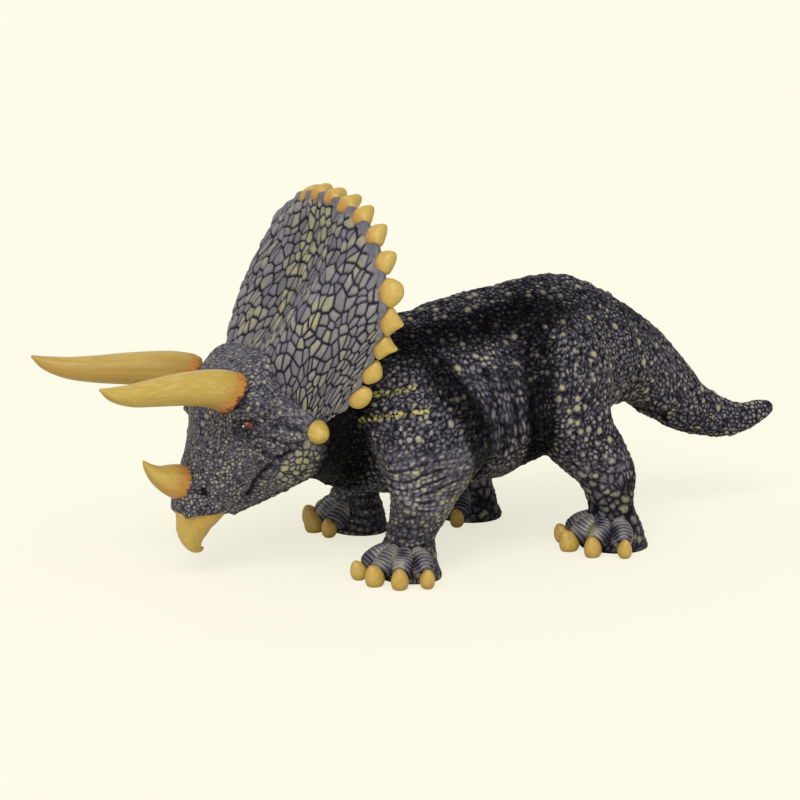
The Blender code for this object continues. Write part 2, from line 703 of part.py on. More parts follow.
def jaw_block(name, grow, cutters):
    """The wedge under the muzzle that the jaw fills, thinner towards the beak."""
    start, along, square = mouth_line()
    front = start - along * OVERRUN
    rear = start + along * (JAW_LENGTH + grow)
    deep = -square * JAW_THICKNESS * 2
    corners = (
        front + deep, rear + deep, rear + square * (JAW_THICKNESS + grow),
        front + square * (JAW_THICKNESS / 2 + grow),
    )
    points = [corner + (0, side * HEAD_WIDTH, 0) for side in (-1, 1) for corner in corners]
    mesh = bpy.data.meshes.new(name)
    faces = [(0, 1, 2, 3), (4, 5, 6, 7)]
    faces += [(k, (k + 1) % 4, (k + 1) % 4 + 4, k + 4) for k in range(4)]
    mesh.from_pydata([tuple(point) for point in points], [], faces)
    return make_object(name, mesh, cutters, ())


def build_beak(shared):
    """The beak with its peg; returns the cutter for the peg's hole."""
    parts, cutters, horn = shared["parts"], shared["cutters"], shared["horn"]
    joint = beak_joint()
    rings = []
    for forward, depth, long, wide in smooth(BEAK_SHARES, HORN_RINGS):
        x = joint[0] - forward * BEAK_JOINT_LENGTH
        z = joint[2] - GLUE_GAP - depth * BEAK_DEPTH
        length = long * BEAK_JOINT_LENGTH
        rings.append(ring((x, 0, z), (0, 1, 0), (-1, 0, 0), wide * BEAK_WIDTH / 2, length,
                          length, 0, BEAK_SIDES))
    beak = loft("beak", rings, parts, (horn,))
    low = joint - (0, 0, BEAK_PEG_REACH / 2)
    tip = joint + (0, 0, BEAK_PEG_REACH)
    join(beak, bar("beak_peg", low, tip, BEAK_PEG_RADIUS, cutters, (horn,)))
    end = tip + (0, 0, GLUE_GAP)
    return bar("beak_peg_hole", low, end, BEAK_PEG_RADIUS + GLUE_GAP, cutters, ())


def horn_and_socket(name, path, radii, shared):
    """A horn, and the cutter for its socket."""
    tube(name, path, radii, shared["parts"], (shared["horn"],))
    inward = path[0] - path[1]
    room = path.copy()
    room[0] += inward / np.linalg.norm(inward) * GLUE_GAP
    return tube(f"{name}_socket", room, radii + GLUE_GAP, shared["cutters"], ())


def build_horns(shared):
    """All horns; returns the cutters for their sockets."""
    sockets = []
    brow_rows = smooth(BROW_HORN_SHARES, HORN_RINGS)
    cheek_rows = smooth(CHEEK_HORN_SHARES, HORN_RINGS // 2)
    for side, side_name in ((-1, "left"), (1, "right")):
        reach, wide, rise = BROW_HORN_PLACE_SHARES
        steps = np.array((-BROW_HORN_LENGTH, side * BROW_HORN_SPLAY, BROW_HORN_RISE))
        path = head_place(reach, side * wide, rise) + brow_rows[:, [0, 2, 1]] * steps
        radii = brow_rows[:, 3] * BROW_HORN_RADIUS
        sockets.append(horn_and_socket(f"brow_horn_{side_name}", path, radii, shared))

        reach, wide, rise = CHEEK_HORN_PLACE_SHARES
        steps = np.array((0, side, -CHEEK_HORN_DROP_SHARE)) * CHEEK_HORN_LENGTH
        path = head_place(reach, side * wide, rise) + cheek_rows[:, :1] * steps
        radii = cheek_rows[:, 1] * CHEEK_HORN_RADIUS
        sockets.append(horn_and_socket(f"cheek_horn_{side_name}", path, radii, shared))

    rows = smooth(NOSE_HORN_SHARES, HORN_RINGS)
    reach, drop = NOSE_HORN_PLACE_SHARES
    start = neck_centre() + np.array((-reach * HEAD_REACH, 0, -drop * HEAD_DROP))
    path = start + np.stack(
        [-rows[:, 0] * NOSE_HORN_LENGTH, 0 * rows[:, 0], rows[:, 1] * NOSE_HORN_RISE], 1
    )
    sockets.append(horn_and_socket("nose_horn", path, rows[:, 2] * NOSE_HORN_RADIUS, shared))
    return sockets


def build_eyes(shared):
    """Both eyes; returns the cutters for their sockets."""
    sockets = []
    parts, cutters, iris = shared["parts"], shared["cutters"], shared["iris"]
    for side, side_name in ((-1, "left"), (1, "right")):
        reach, wide, rise = EYE_PLACE_SHARES
        place = Matrix.Translation(head_place(reach, side * wide, rise))
        eye = [place @ Matrix.Scale(EYE_RADIUS, 4)]
        room = [place @ Matrix.Scale(EYE_RADIUS + GLUE_GAP, 4)]
        name = f"eye_{side_name}"
        eggs(name, eye, parts, (iris,), sides=EYE_SIDES, rings=EYE_RINGS)
        sockets.append(
            eggs(f"{name}_socket", room, cutters, (), sides=EYE_SIDES, rings=EYE_RINGS)
        )
    return sockets


def frill_lines():
    """The shield's rim, root and sunk depth from its left lower end over the top to its right one."""
    rows = smooth(FRILL_SHARES, FRILL_COLUMNS + 1)
    base = neck_centre() + np.array((0, 0, FRILL_BASE_RISE))
    scale = np.array((-FRILL_DEPTH, FRILL_WIDTH / 2, FRILL_HEIGHT))
    rim = base + rows[:, [2, 0, 1]] * scale
    root = base + rows[:, [5, 3, 4]] * scale
    sunk = rows[:, 6] * FRILL_DEPTH
    mirror = np.array((1, -1, 1))
    rim = np.vstack([rim * mirror, rim[-2::-1]])
    root = np.vstack([root * mirror, root[-2::-1]])
    return rim, root, np.concatenate([sunk, sunk[-2::-1]])


def stud_places(rim):
    """Matrices for the rim studs, spread evenly along the rim, leaning back from it."""
    length = np.concatenate([[0], np.cumsum(np.linalg.norm(np.diff(rim, axis=0), axis=1))])
    total = 2 * STUDS_A_SIDE
    places = []
    for mark in length[-1] * (np.arange(total) + 0.5) / total:
        point, ahead, behind = (
            np.array([np.interp(mark + step, length, rim[:, k]) for k in range(3)])
            for step in (0, STUD_WIDTH, -STUD_WIDTH)
        )
        along = (ahead - behind) / np.linalg.norm(ahead - behind)
        radial = np.cross((1, 0, 0), along)
        radial /= np.linalg.norm(radial)
        back = np.cross(along, radial)
        out = radial * math.cos(STUD_LEAN) + back * math.sin(STUD_LEAN)
        out *= np.sign(radial @ (point - neck_centre()))
        thick = np.cross(out, along)
        turn = Matrix((along, thick, out)).transposed().to_4x4()
        size = Matrix.Diagonal((STUD_WIDTH, STUD_THICKNESS, STUD_LENGTH, 1))
        middle = point + (FRILL_THICKNESS * STUD_BACK_SHARE, 0, 0)
        places.append(Matrix.Translation(middle) @ turn @ size)
    return places


def frill_sheet(rim, root, sunk):
    """The shield's front face, from the root line out to the rim; its faces look backwards."""
    columns = len(rim)
    points, faces = [], []
    for step in range(FRILL_STEPS + 1):
        share = step / FRILL_STEPS
        row = root + (rim - root) * share
        row[:, 0] += sunk * math.sin(math.pi * share)
        points.append(row)
    for step in range(FRILL_STEPS):
        for k in range(columns - 1):
            low, high = step * columns + k, (step + 1) * columns + k
            faces.append((low, low + 1, high + 1, high))
    mesh = bpy.data.meshes.new("frill")
    mesh.from_pydata(np.concatenate(points).tolist(), [], faces)
    mesh.shade_smooth()
    return mesh


def build_frill(sockets, shared):
    """The neck shield with its studs and its peg; returns the cutter for the peg's hole."""
    parts, cutters, skin, horn = shared["parts"], shared["cutters"], shared["skin"], shared["horn"]
    both = (skin, horn)
    rim, root, sunk = frill_lines()
    frill = bpy.data.objects.new("frill", frill_sheet(rim, root, sunk))
    parts.objects.link(frill)
    for material in both:
        frill.data.materials.append(material)
    wall = frill.modifiers.new("Wall", "SOLIDIFY")
    wall.thickness = FRILL_THICKNESS
    wall.offset = 1
    wall.use_even_offset = True
    places = stud_places(rim)
    # Every other stud, because neighbours nearly touch
    for name, chosen in (("frill_studs_odd", places[0::2]), ("frill_studs_even", places[1::2])):
        join(frill, eggs(name, chosen, cutters, both, 1, STUD_SIDES, STUD_RINGS))
    cut(frill, shared["head_room"], *sockets)

    top = len(rim) // 2
    start = root[top] + (rim[top] - root[top]) * FRILL_PEG_PLACE_SHARE
    start += (FRILL_THICKNESS / 2 + sunk[top] * math.sin(math.pi * FRILL_PEG_PLACE_SHARE), 0, 0)
    way = np.array((FRILL_PEG_BACK_SHARE, 0, -1))
    way /= np.linalg.norm(way)
    end = start + way * FRILL_PEG_REACH
    join(frill, bar("frill_peg", start, end, FRILL_PEG_RADIUS, cutters, (skin,)))
    end = end + way * GLUE_GAP
    return bar("frill_peg_hole", start, end, FRILL_PEG_RADIUS + GLUE_GAP, cutters, ())


def build_head(holes, shared):
    """The skull with its spigot, its holes and the room for the jaw and the beak; and the jaw."""
    parts, cutters, skin = shared["parts"], shared["cutters"], shared["skin"]
    joint = beak_joint()
    beak_room = block(
        "beak_room", (joint[0] - BEAK_JOINT_LENGTH, -HEAD_WIDTH, -OVERRUN),
        (joint[0] + BEAK_JOINT_LENGTH / 2 + GLUE_GAP, HEAD_WIDTH, joint[2]), cutters,
    )
    start, along, square = mouth_line()
    middle = start + along * JAW_PEG_PLACE_SHARE * JAW_LENGTH
    low, tip = middle, middle + square * (JAW_THICKNESS + JAW_PEG_REACH)
    peg = bar("jaw_peg", low, tip, JAW_PEG_RADIUS, cutters, (skin,))
    tip = tip + square * GLUE_GAP
    peg_hole = bar("jaw_peg_hole", low, tip, JAW_PEG_RADIUS + GLUE_GAP, cutters, ())

    head = head_form("head", 0, parts, (skin,))
    cut(head, beak_room, jaw_block("jaw_room", GLUE_GAP, cutters), peg_hole, *holes)
    neck = neck_centre()
    inner, outer = (neck + (x, 0, 0) for x in (-NECK_SPIGOT_RADIUS, NECK_SPIGOT_REACH))
    join(head, bar("neck_spigot", inner, outer, NECK_SPIGOT_RADIUS, cutters, (skin,)))

    jaw = head_form("lower_jaw", 0, parts, (skin,))
    keep(jaw, jaw_block("jaw_shape", 0, cutters))
    cut(jaw, beak_room)
    join(jaw, peg)


def main():
    empty_file()
    shared = {
        "parts": make_collection("toy dinosaur figure"),
        "cutters": make_collection("cutters"),
        "skin": make_material("skin", SKIN, SKIN_ROUGHNESS),
        "horn": make_material("horn", HORN, HORN_ROUGHNESS),
        "iris": make_material("iris", IRIS, IRIS_ROUGHNESS),
    }
    cutters = shared["cutters"]
    for name, inset in (("seat_floor", SEAT_DEPTH), ("seat_for_legs", SEAT_DEPTH - GLUE_GAP)):
        shared[name] = trunk_form(name, inset, TRUNK_RINGS, TRUNK_SIDES, cutters, (), 0)
    reach = TRUNK_LENGTH
    shared["ground"] = block("ground", (-reach, -reach, -reach), (reach, reach, 0), cutters)
    shared["head_room"] = head_form("head_room", GLUE_GAP, cutters, ())

    build_trunk(build_legs(shared), shared)
    build_tail(shared)
    horn_sockets = build_horns(shared)
    eye_sockets = build_eyes(shared)
    beak_hole = build_beak(shared)
    frill_hole = build_frill(horn_sockets, shared)
    build_head((*horn_sockets, *eye_sockets, beak_hole, frill_hole), shared)

    for part in shared["parts"].objects:
        if part.modifiers:
            weld(part)
    for cutter in cutters.objects:
        cutter.hide_render = True
        cutter.display_type = "WIRE"


main()
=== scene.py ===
"""Scaly painted skin, horns, nails and eyes of the three-horned dinosaur figure.

Every piece is a surface worked out on a grid, in millimetres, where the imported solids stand.
"""
import itertools
import json
import math

import bpy
import numpy as np
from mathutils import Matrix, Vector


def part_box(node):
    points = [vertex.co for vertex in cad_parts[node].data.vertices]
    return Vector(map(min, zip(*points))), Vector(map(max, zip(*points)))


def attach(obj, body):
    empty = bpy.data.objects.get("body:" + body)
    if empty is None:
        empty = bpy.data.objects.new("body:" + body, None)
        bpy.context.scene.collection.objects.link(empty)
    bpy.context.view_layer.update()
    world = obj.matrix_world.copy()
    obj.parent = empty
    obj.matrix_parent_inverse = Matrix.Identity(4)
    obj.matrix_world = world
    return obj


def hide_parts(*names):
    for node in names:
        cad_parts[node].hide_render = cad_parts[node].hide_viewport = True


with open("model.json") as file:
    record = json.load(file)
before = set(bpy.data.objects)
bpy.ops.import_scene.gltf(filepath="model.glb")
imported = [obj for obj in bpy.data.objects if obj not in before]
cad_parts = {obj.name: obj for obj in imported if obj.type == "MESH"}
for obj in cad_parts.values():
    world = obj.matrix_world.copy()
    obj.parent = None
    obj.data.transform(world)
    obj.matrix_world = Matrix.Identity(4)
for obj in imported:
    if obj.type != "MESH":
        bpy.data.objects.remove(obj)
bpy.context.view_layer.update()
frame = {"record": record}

MM = 0.001

# Camera, fitted to the photograph

VIEW_AZIMUTH, VIEW_ELEVATION = math.radians(-28), math.radians(13)
VIEW_DISTANCE = 0.7
VIEW_TARGET = np.array((-0.01475, -0.0125, 0.033))
LENS, SENSOR = 165.06, 36.0

# Forms: the sections that the solids have, as shares of the same sizes

TRUNK_SHARES = (
    (0.000, 0.815, 0.079, 0.451, 0.570, 0.20),
    (0.095, 0.842, 0.026, 0.426, 0.680, 0.22),
    (0.238, 0.885, 0.000, 0.395, 0.830, 0.24),
    (0.397, 0.930, 0.000, 0.370, 0.930, 0.26),
    (0.556, 0.970, 0.035, 0.370, 1.000, 0.28),
    (0.683, 0.993, 0.110, 0.400, 0.960, 0.30),
    (0.810, 1.000, 0.185, 0.450, 0.830, 0.28),
    (0.905, 0.972, 0.240, 0.520, 0.680, 0.22),
    (1.000, 0.890, 0.305, 0.590, 0.530, 0.12),
)
CREASE_SHARES = ((0.21, 0.38), (0.56, 0.61))
CREASE_DEPTH, CREASE_WIDTH = 1.0, 2.2
TAIL_DROP = 21.2
TAIL_TURN_SHARE = 0.25
TAIL_SHARES = (
    (0.000, 1.000, 1.000),
    (0.100, 0.920, 0.855),
    (0.215, 0.760, 0.720),
    (0.345, 0.530, 0.595),
    (0.470, 0.330, 0.490),
    (0.590, 0.205, 0.400),
    (0.710, 0.135, 0.325),
    (0.825, 0.135, 0.250),
    (0.920, 0.185, 0.180),
    (0.980, 0.215, 0.120),
    (1.000, 0.225, 0.050),
)
SHOULDER_LENGTH, THIGH_LENGTH = 25.0, 24.5
FORE_PLACE_SHARE, HIND_PLACE_SHARE = 0.245, 0.690
FORE_ROOT_SHARE, HIND_ROOT_SHARE = 0.52, 0.44
STRIDE_FORE, STRIDE_HIND = 7.4, 14.0
FORELEG_SHARES = (
    (0.000, -0.105, 0.50, 1.00, 0.240, 0.285),
    (0.085, -0.105, 0.50, 1.00, 0.240, 0.285),
    (0.185, -0.085, 0.46, 1.00, 0.195, 0.225),
    (0.300, -0.040, 0.38, 0.97, 0.230, 0.238),
    (0.430, 0.020, 0.25, 0.88, 0.335, 0.262),
    (0.560, 0.095, 0.12, 0.71, 0.480, 0.282),
    (0.720, 0.060, 0.03, 0.46, 0.510, 0.272),
    (0.870, 0.010, 0.00, 0.20, 0.430, 0.220),
    (0.960, 0.000, 0.00, 0.06, 0.320, 0.140),
    (1.000, 0.000, 0.00, 0.00, 0.170, 0.060),
)
HINDLEG_SHARES = (
    (0.000, 0.190, 0.50, 1.00, 0.270, 0.290),
    (0.075, 0.190, 0.50, 1.00, 0.270, 0.290),
    (0.170, 0.205, 0.48, 0.99, 0.200, 0.230),
    (0.260, 0.200, 0.42, 0.97, 0.228, 0.232),
    (0.345, 0.165, 0.34, 0.93, 0.310, 0.248),
    (0.450, 0.085, 0.22, 0.84, 0.378, 0.284),
    (0.600, -0.030, 0.10, 0.72, 0.412, 0.305),
    (0.780, -0.033, 0.02, 0.51, 0.475, 0.280),
    (0.900, -0.010, 0.00, 0.26, 0.410, 0.195),
    (0.970, 0.000, 0.00, 0.08, 0.300, 0.120),
    (1.000, 0.000, 0.00, 0.00, 0.160, 0.050),
)
FOOT_RADIUS = 8.3
TOE_COUNT, TOE_SLOPE = 4, math.radians(24)
NAIL_SIZE = np.array((1.95, 1.65, 2.45))
NAIL_SHARES = (0.85, 1.02, 1.0, 0.85)
NAIL_RISE_SHARE = 0.75
FORE_TOE_STEP, HIND_TOE_STEP = math.radians(30), math.radians(36)
TOE_OUT = {"foreleg_left": 37, "foreleg_right": 22, "hindleg_left": 17, "hindleg_right": 6}
TOE_SHIFT = {"foreleg_right": (0.9, -0.2, 0)}
HEAD_REACH, HEAD_DROP, HEAD_WIDTH, HEAD_DEPTH = 29.0, 20.0, 28.0, 31.0
HEAD_TILT = math.radians(50)
HEAD_SHARES = (
    (0.000, 0.000, 0.00, 0.468, 0.468, 0.875, 0.20),
    (0.200, -0.020, 0.25, 0.475, 0.455, 0.945, 0.22),
    (0.390, 0.065, 0.52, 0.500, 0.430, 1.000, 0.02),
    (0.560, 0.215, 0.76, 0.495, 0.405, 0.920, -0.22),
    (0.715, 0.420, 0.96, 0.285, 0.365, 0.690, -0.12),
    (0.855, 0.640, 1.00, 0.200, 0.262, 0.490, 0.10),
    (0.950, 0.800, 1.00, 0.150, 0.165, 0.385, 0.10),
    (1.050, 0.960, 1.00, 0.075, 0.085, 0.250, 0.10),
)
BEAK_PLACE_SHARES = (0.900, 0.890)
BEAK_JOINT_LENGTH, BEAK_WIDTH, BEAK_DEPTH = 11.2, 9.4, 7.3
JAW_SLOPE, JAW_LENGTH, JAW_THICKNESS = math.radians(30), 16.5, 1.6
BROW_HORN_LENGTH, BROW_HORN_RADIUS, BROW_HORN_RISE, BROW_HORN_SPLAY = 32.2, 3.9, 5.1, 7.0
BROW_HORN_PLACE_SHARES = (0.730, 0.657, 0.242)
BROW_HORN_SHARES = (
    (0.000, 0.000, 0.00, 0.88),
    (0.190, 0.230, 0.18, 0.94),
    (0.420, 0.390, 0.42, 0.82),
    (0.615, 0.450, 0.60, 0.70),
    (0.785, 0.530, 0.79, 0.56),
    (0.915, 0.730, 0.92, 0.36),
    (1.000, 1.000, 1.00, 0.07),
)
NOSE_HORN_LENGTH, NOSE_HORN_RADIUS, NOSE_HORN_RISE = 9.6, 3.3, 5.8
NOSE_HORN_PLACE_SHARES = (0.976, 0.590)
NOSE_HORN_START = 0.5
NOSE_HORN_SHARES = (
    (0.000, 0.000, 0.95),
    (0.250, 0.150, 1.00),
    (0.490, 0.300, 0.84),
    (0.700, 0.470, 0.58),
    (0.870, 0.710, 0.32),
    (0.960, 0.900, 0.15),
    (1.000, 1.000, 0.05),
)
CHEEK_HORN_LENGTH, CHEEK_HORN_RADIUS, CHEEK_HORN_DROP_SHARE = 6.6, 2.2, 0.15
CHEEK_HORN_PLACE_SHARES = (0.290, 0.760, -0.005)
CHEEK_HORN_SHARES = (
    (0.000, 1.000),
    (0.350, 1.050),
    (0.650, 0.980),
    (0.880, 0.680),
    (0.970, 0.400),
    (1.000, 0.060),
)
EYE_RADIUS = 1.6
EYE_PLACE_SHARES = (0.735, 0.720, 0.035)
FRILL_WIDTH, FRILL_HEIGHT, FRILL_DEPTH, FRILL_THICKNESS, FRILL_BASE_RISE = 49.8, 38.3, 20.5, 2.6, 3.5
FRILL_SHARES = (
    (0.650, 0.000, 0.160, 0.400, -0.175, 0.575, 0.00),
    (0.710, 0.070, 0.110, 0.420, -0.135, 0.625, -0.01),
    (0.785, 0.180, 0.050, 0.440, -0.085, 0.675, -0.02),
    (0.878, 0.310, -0.015, 0.440, -0.035, 0.735, -0.04),
    (0.965, 0.440, -0.030, 0.420, 0.005, 0.785, -0.06),
    (1.000, 0.540, -0.030, 0.385, 0.035, 0.825, -0.08),
    (0.965, 0.650, -0.030, 0.340, 0.057, 0.855, -0.11),
    (0.900, 0.750, -0.030, 0.290, 0.073, 0.880, -0.13),
    (0.815, 0.835, -0.030, 0.235, 0.086, 0.900, -0.11),
    (0.680, 0.908, -0.025, 0.180, 0.097, 0.915, -0.05),
    (0.490, 0.962, -0.015, 0.120, 0.107, 0.925, 0.04),
    (0.250, 0.990, -0.005, 0.060, 0.113, 0.932, 0.12),
    (0.000, 1.000, 0.000, 0.000, 0.115, 0.935, 0.16),
)
STUDS_A_SIDE = 10
STUD_WIDTH, STUD_THICKNESS = 2.5, 1.6
STUD_LEAN, STUD_TOP_LEAN, STUD_BACK_SHARE = math.radians(45), math.radians(28), 0.55

# How finely the surfaces are divided: millimetres between points, and the lengths along and round
# the forms that are divided by them

SKIN_STEP, HEAD_STEP, FRILL_STEP = 0.28, 0.25, 0.27
TRUNK_GIRTH, LEG_GIRTH, TAIL_RUN, TAIL_GIRTH = 62, 50, 48, 66
HEAD_RUN, HEAD_GIRTH, JAW_RUN, JAW_GIRTH, FRILL_RUN = 52, 80, 19, 34, 38
SHARP_ANGLE = math.radians(75)


def smooth(table, count):
    """Rows at even steps of a Catmull-Rom curve through the rows of a table."""
    rows = np.array(table, float)
    rows = np.vstack([2 * rows[0] - rows[1], rows, 2 * rows[-1] - rows[-2]])
    place = np.linspace(0, len(rows) - 3, count)
    first = np.minimum(place.astype(int), len(rows) - 4)
    step = (place - first)[:, None]
    a, b, c, d = (rows[first + k] for k in range(4))
    bend = 2 * a - 5 * b + 4 * c - d
    twist = 3 * b - a - 3 * c + d
    return b + ((c - a) * step + bend * step**2 + twist * step**3) / 2


def ease(value, low, high):
    """0 below low, 1 above high and a smooth step between."""
    share = np.clip((value - low) / (high - low), 0, 1)
    return share * share * (3 - 2 * share)


def unit(vectors):
    """Vectors of length 1."""
    return vectors / np.maximum(np.linalg.norm(vectors, axis=-1, keepdims=True), 1e-9)


def together(*parts):
    """Points from their parts, each a number or a grid of numbers."""
    return np.stack(np.broadcast_arrays(*parts), -1)


def full_turn(count):
    """Even angles once round, in one row."""
    return np.linspace(0, 2 * math.pi, count, endpoint=False)[None, :]


def lengths_along(path):
    """How far the points of a path lie from its first one, along the path."""
    return np.concatenate([[0], np.cumsum(np.linalg.norm(np.diff(path, axis=0), axis=1))])


def section(angle, half, up, down, pinch):
    """Sideways and upward parts of a section: an oval, drawn in towards its top by the pinch."""
    rise = np.sin(angle)
    wide = half * np.cos(angle) * (1 - pinch * np.maximum(rise, 0) ** 2)
    return wide, np.where(rise >= 0, up, down) * rise


def sweep(path, across, upward, wide, tall):
    """Sections along a path: each point is the path's, plus its sideways and its upward part."""
    return path[:, None] + wide[..., None] * across + tall[..., None] * upward[:, None]


def box_mm(*nodes):
    """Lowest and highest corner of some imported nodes, in millimetres."""
    corners = np.array([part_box(node) for node in nodes]) / MM
    return corners[:, 0].min(0), corners[:, 1].max(0)


def soles():
    """Middle of each sole from the record's mounts, in millimetres."""
    places = {mount["name"]: np.array(mount["pos_m"]) / MM for mount in frame["record"]["mounts"]}
    return {
        "foreleg_left": places["sole_fore_left"],
        "foreleg_right": places["sole_fore_right"],
        "hindleg_left": places["sole_hind_left"],
        "hindleg_right": places["sole_hind_right"],
    }


TRUNK_LOW, TRUNK_HIGH = box_mm("torso_left_shell", "torso_right_shell")
TRUNK_LENGTH, TRUNK_DEPTH = (TRUNK_HIGH - TRUNK_LOW)[[0, 2]]
TRUNK_ROWS = smooth(TRUNK_SHARES, 160)
TRUNK_ROWS[:, 0] = TRUNK_LOW[0] + TRUNK_ROWS[:, 0] * TRUNK_LENGTH
TRUNK_ROWS[:, 1:4] = TRUNK_LOW[2] + TRUNK_ROWS[:, 1:4] * TRUNK_DEPTH
TRUNK_ROWS[:, 4] *= TRUNK_HIGH[1]
NECK = np.array((TRUNK_LOW[0], 0.0, TRUNK_ROWS[0, 3]))


def trunk_at(x):
    """Top, bottom, widest height, half width and pinch of the trunk at places along it."""
    return [np.interp(x, TRUNK_ROWS[:, 0], TRUNK_ROWS[:, k]) for k in range(1, 6)]


def trunk_fold(x, z):
    """How deep the folds behind the shoulder and before the thigh are at places of the flank."""
    height = (z - TRUNK_LOW[2]) / TRUNK_DEPTH
    lines = (
        TRUNK_LOW[0] + TRUNK_LENGTH * (belly + (back - belly) * height)
        for back, belly in CREASE_SHARES
    )
    return sum(CREASE_DEPTH * np.exp(-(((x - line) / CREASE_WIDTH) ** 2)) for line in lines)


def trunk_distance(points):
    """How far points lie outside the trunk, along the ray from the middle of their section."""
    x, y, z = np.moveaxis(points, -1, 0)
    top, bottom, widest, half, pinch = trunk_at(x)
    rise = z - widest
    high = rise / np.where(rise > 0, top - widest, widest - bottom)
    size = np.hypot(y / half, high) + 1e-9
    wide = half * (1 - pinch * np.maximum(high / size, 0) ** 2) - trunk_fold(x, z)
    size = np.hypot(y / wide, high) + 1e-9
    length = np.hypot(y, rise)
    out = length - length / size
    beyond = np.maximum(TRUNK_ROWS[0, 0] - x, x - TRUNK_ROWS[-1, 0])
    return np.where(beyond > 0, np.hypot(np.maximum(out, 0), beyond), out)


def leg_rows(name, count):
    """Sections of a leg from the sole up: height, middle x and y, half length, half width, slope."""
    fore = name.startswith("fore")
    side = -1 if name.endswith("left") else 1
    table = FORELEG_SHARES if fore else HINDLEG_SHARES
    length = SHOULDER_LENGTH if fore else THIGH_LENGTH
    place, root = (FORE_PLACE_SHARE, FORE_ROOT_SHARE) if fore else (HIND_PLACE_SHARE, HIND_ROOT_SHARE)
    stride = (-STRIDE_FORE if fore else STRIDE_HIND) * -side
    height, forward, stride_part, side_part, half_length, half_width = smooth(table, count).T
    hip_x = TRUNK_LOW[0] + place * TRUNK_LENGTH
    hip_y = root * trunk_at(hip_x)[3]
    spread = abs(soles()[name][1])
    z = height * box_mm(name)[1][2]
    x = hip_x + forward * length + stride_part * stride
    y = side * (hip_y + side_part * (spread - hip_y))
    half_length, half_width = half_length * length, half_width * length
    slope = np.gradient(half_width, z)
    return np.stack([z, x, y, half_length, half_width, slope], 1)


LEGS = {name: leg_rows(name, 160) for name in TOE_OUT}


def leg_at(name, z):
    """Middle x and y, half length, half width and slope of a leg at heights."""
    rows = LEGS[name]
    return [np.interp(z, rows[:, 0], rows[:, k]) for k in range(1, 6)]


def leg_distance(points, name):
    """How far points lie outside a leg, along the level ray from the middle of their section."""
    x, y, z = np.moveaxis(points, -1, 0)
    middle_x, middle_y, half_length, half_width, slope = leg_at(name, z)
    size = np.hypot((x - middle_x) / half_length, (y - middle_y) / half_width) + 1e-9
    length = np.hypot(x - middle_x, y - middle_y)
    out = (length - length / size) / np.sqrt(1 + np.clip(slope, -2, 2) ** 2)
    beyond = z - LEGS[name][-1, 0]
    return np.where(beyond > 0, np.hypot(np.maximum(out, 0), beyond), out)


def fold_width(points, name):
    """How softly a leg runs into the trunk: hard behind the shoulder and in front of the thigh."""
    middle_x, _, half_length, _, _ = leg_at(name, points[..., 2])
    along = (points[..., 0] - middle_x) / half_length
    along = along if name.startswith("fore") else -along
    return 4.2 - 3.2 * ease(along, 0.1, 0.8)


def body_distance(points, side_name):
    """Distance from the trunk joined with the two legs of a side; the join is a smooth minimum."""
    trunk = trunk_distance(points)
    body = trunk
    nearest_leg = np.full(trunk.shape, 1e3)
    for name in (f"foreleg_{side_name}", f"hindleg_{side_name}"):
        leg = leg_distance(points, name)
        width = fold_width(points, name)
        overlap = np.maximum(width - np.abs(body - leg), 0) / width
        body = np.minimum(body, leg) - overlap**2 * width / 4
        nearest_leg = np.minimum(nearest_leg, leg)
    return body, trunk, nearest_leg


def reach_surface(start, way, guess, side_name, below=2.0, above=3.6, steps=12):
    """Where rays from start cross the joined body near a guessed length, by halving the stretch."""
    low, high = guess - below, guess + above
    for _ in range(steps):
        middle = (low + high) / 2
        inside = body_distance(start + way * middle[..., None], side_name)[0] < 0
        low = np.where(inside, middle, low)
        high = np.where(inside, high, middle)
    return (low + high) / 2


def grid_normals(points, wrap, outside_from):
    """Unit normals of a grid of points, turned away from a point or a line of points."""
    along = np.gradient(points, axis=0)
    if wrap:
        across = np.roll(points, -1, 1) - np.roll(points, 1, 1)
    else:
        across = np.gradient(points, axis=1)
    normal = unit(np.cross(along, across))
    outwards = np.sum(normal * (points - outside_from), axis=-1)
    return normal * np.sign(np.median(outwards))


def lattice_noise(corners, salt):
    """Even random numbers for whole-number lattice corners, three for each, the same each run."""
    mix = np.array([[127.1, 269.5, 419.2], [311.7, 183.3, 371.9], [74.7, 246.1, 124.6]])
    value = np.sin(corners @ mix[:corners.shape[-1]] + salt) * 43758.5453
    return value - np.floor(value)


def cells(points, size, salt, jitter=0.9):
    """Cells round the jittered corners of a lattice: how far points lie inside their cell's border,
    how far from its middle, both in cell sizes, and a random number of the cell."""
    shape, axes = points.shape[:-1], points.shape[-1]
    place = (points / size).reshape(-1, axes)
    base = np.floor(place)
    nearest = np.full(len(place), 1e9)
    middle = np.zeros_like(place)
    number = np.zeros(len(place))
    seeds = []
    for step in itertools.product((-1, 0, 1), repeat=axes):
        random = lattice_noise(base + step, salt)
        seed = base + step + 0.5 + jitter * (random[:, :axes] - 0.5)
        seeds.append(seed)
        distance = ((seed - place) ** 2).sum(1)
        closer = distance < nearest
        nearest = np.where(closer, distance, nearest)
        middle = np.where(closer[:, None], seed, middle)
        number = np.where(closer, random[:, 2], number)
    border = np.full(len(place), 1e9)
    for seed in seeds:
        gap = seed - middle
        length = np.linalg.norm(gap, axis=1)
        edge = (((seed + middle) / 2 - place) * gap).sum(1) / np.maximum(length, 1e-6)
        border = np.where(length > 1e-6, np.minimum(border, edge), border)
    return border.reshape(shape), np.sqrt(nearest).reshape(shape), number.reshape(shape)


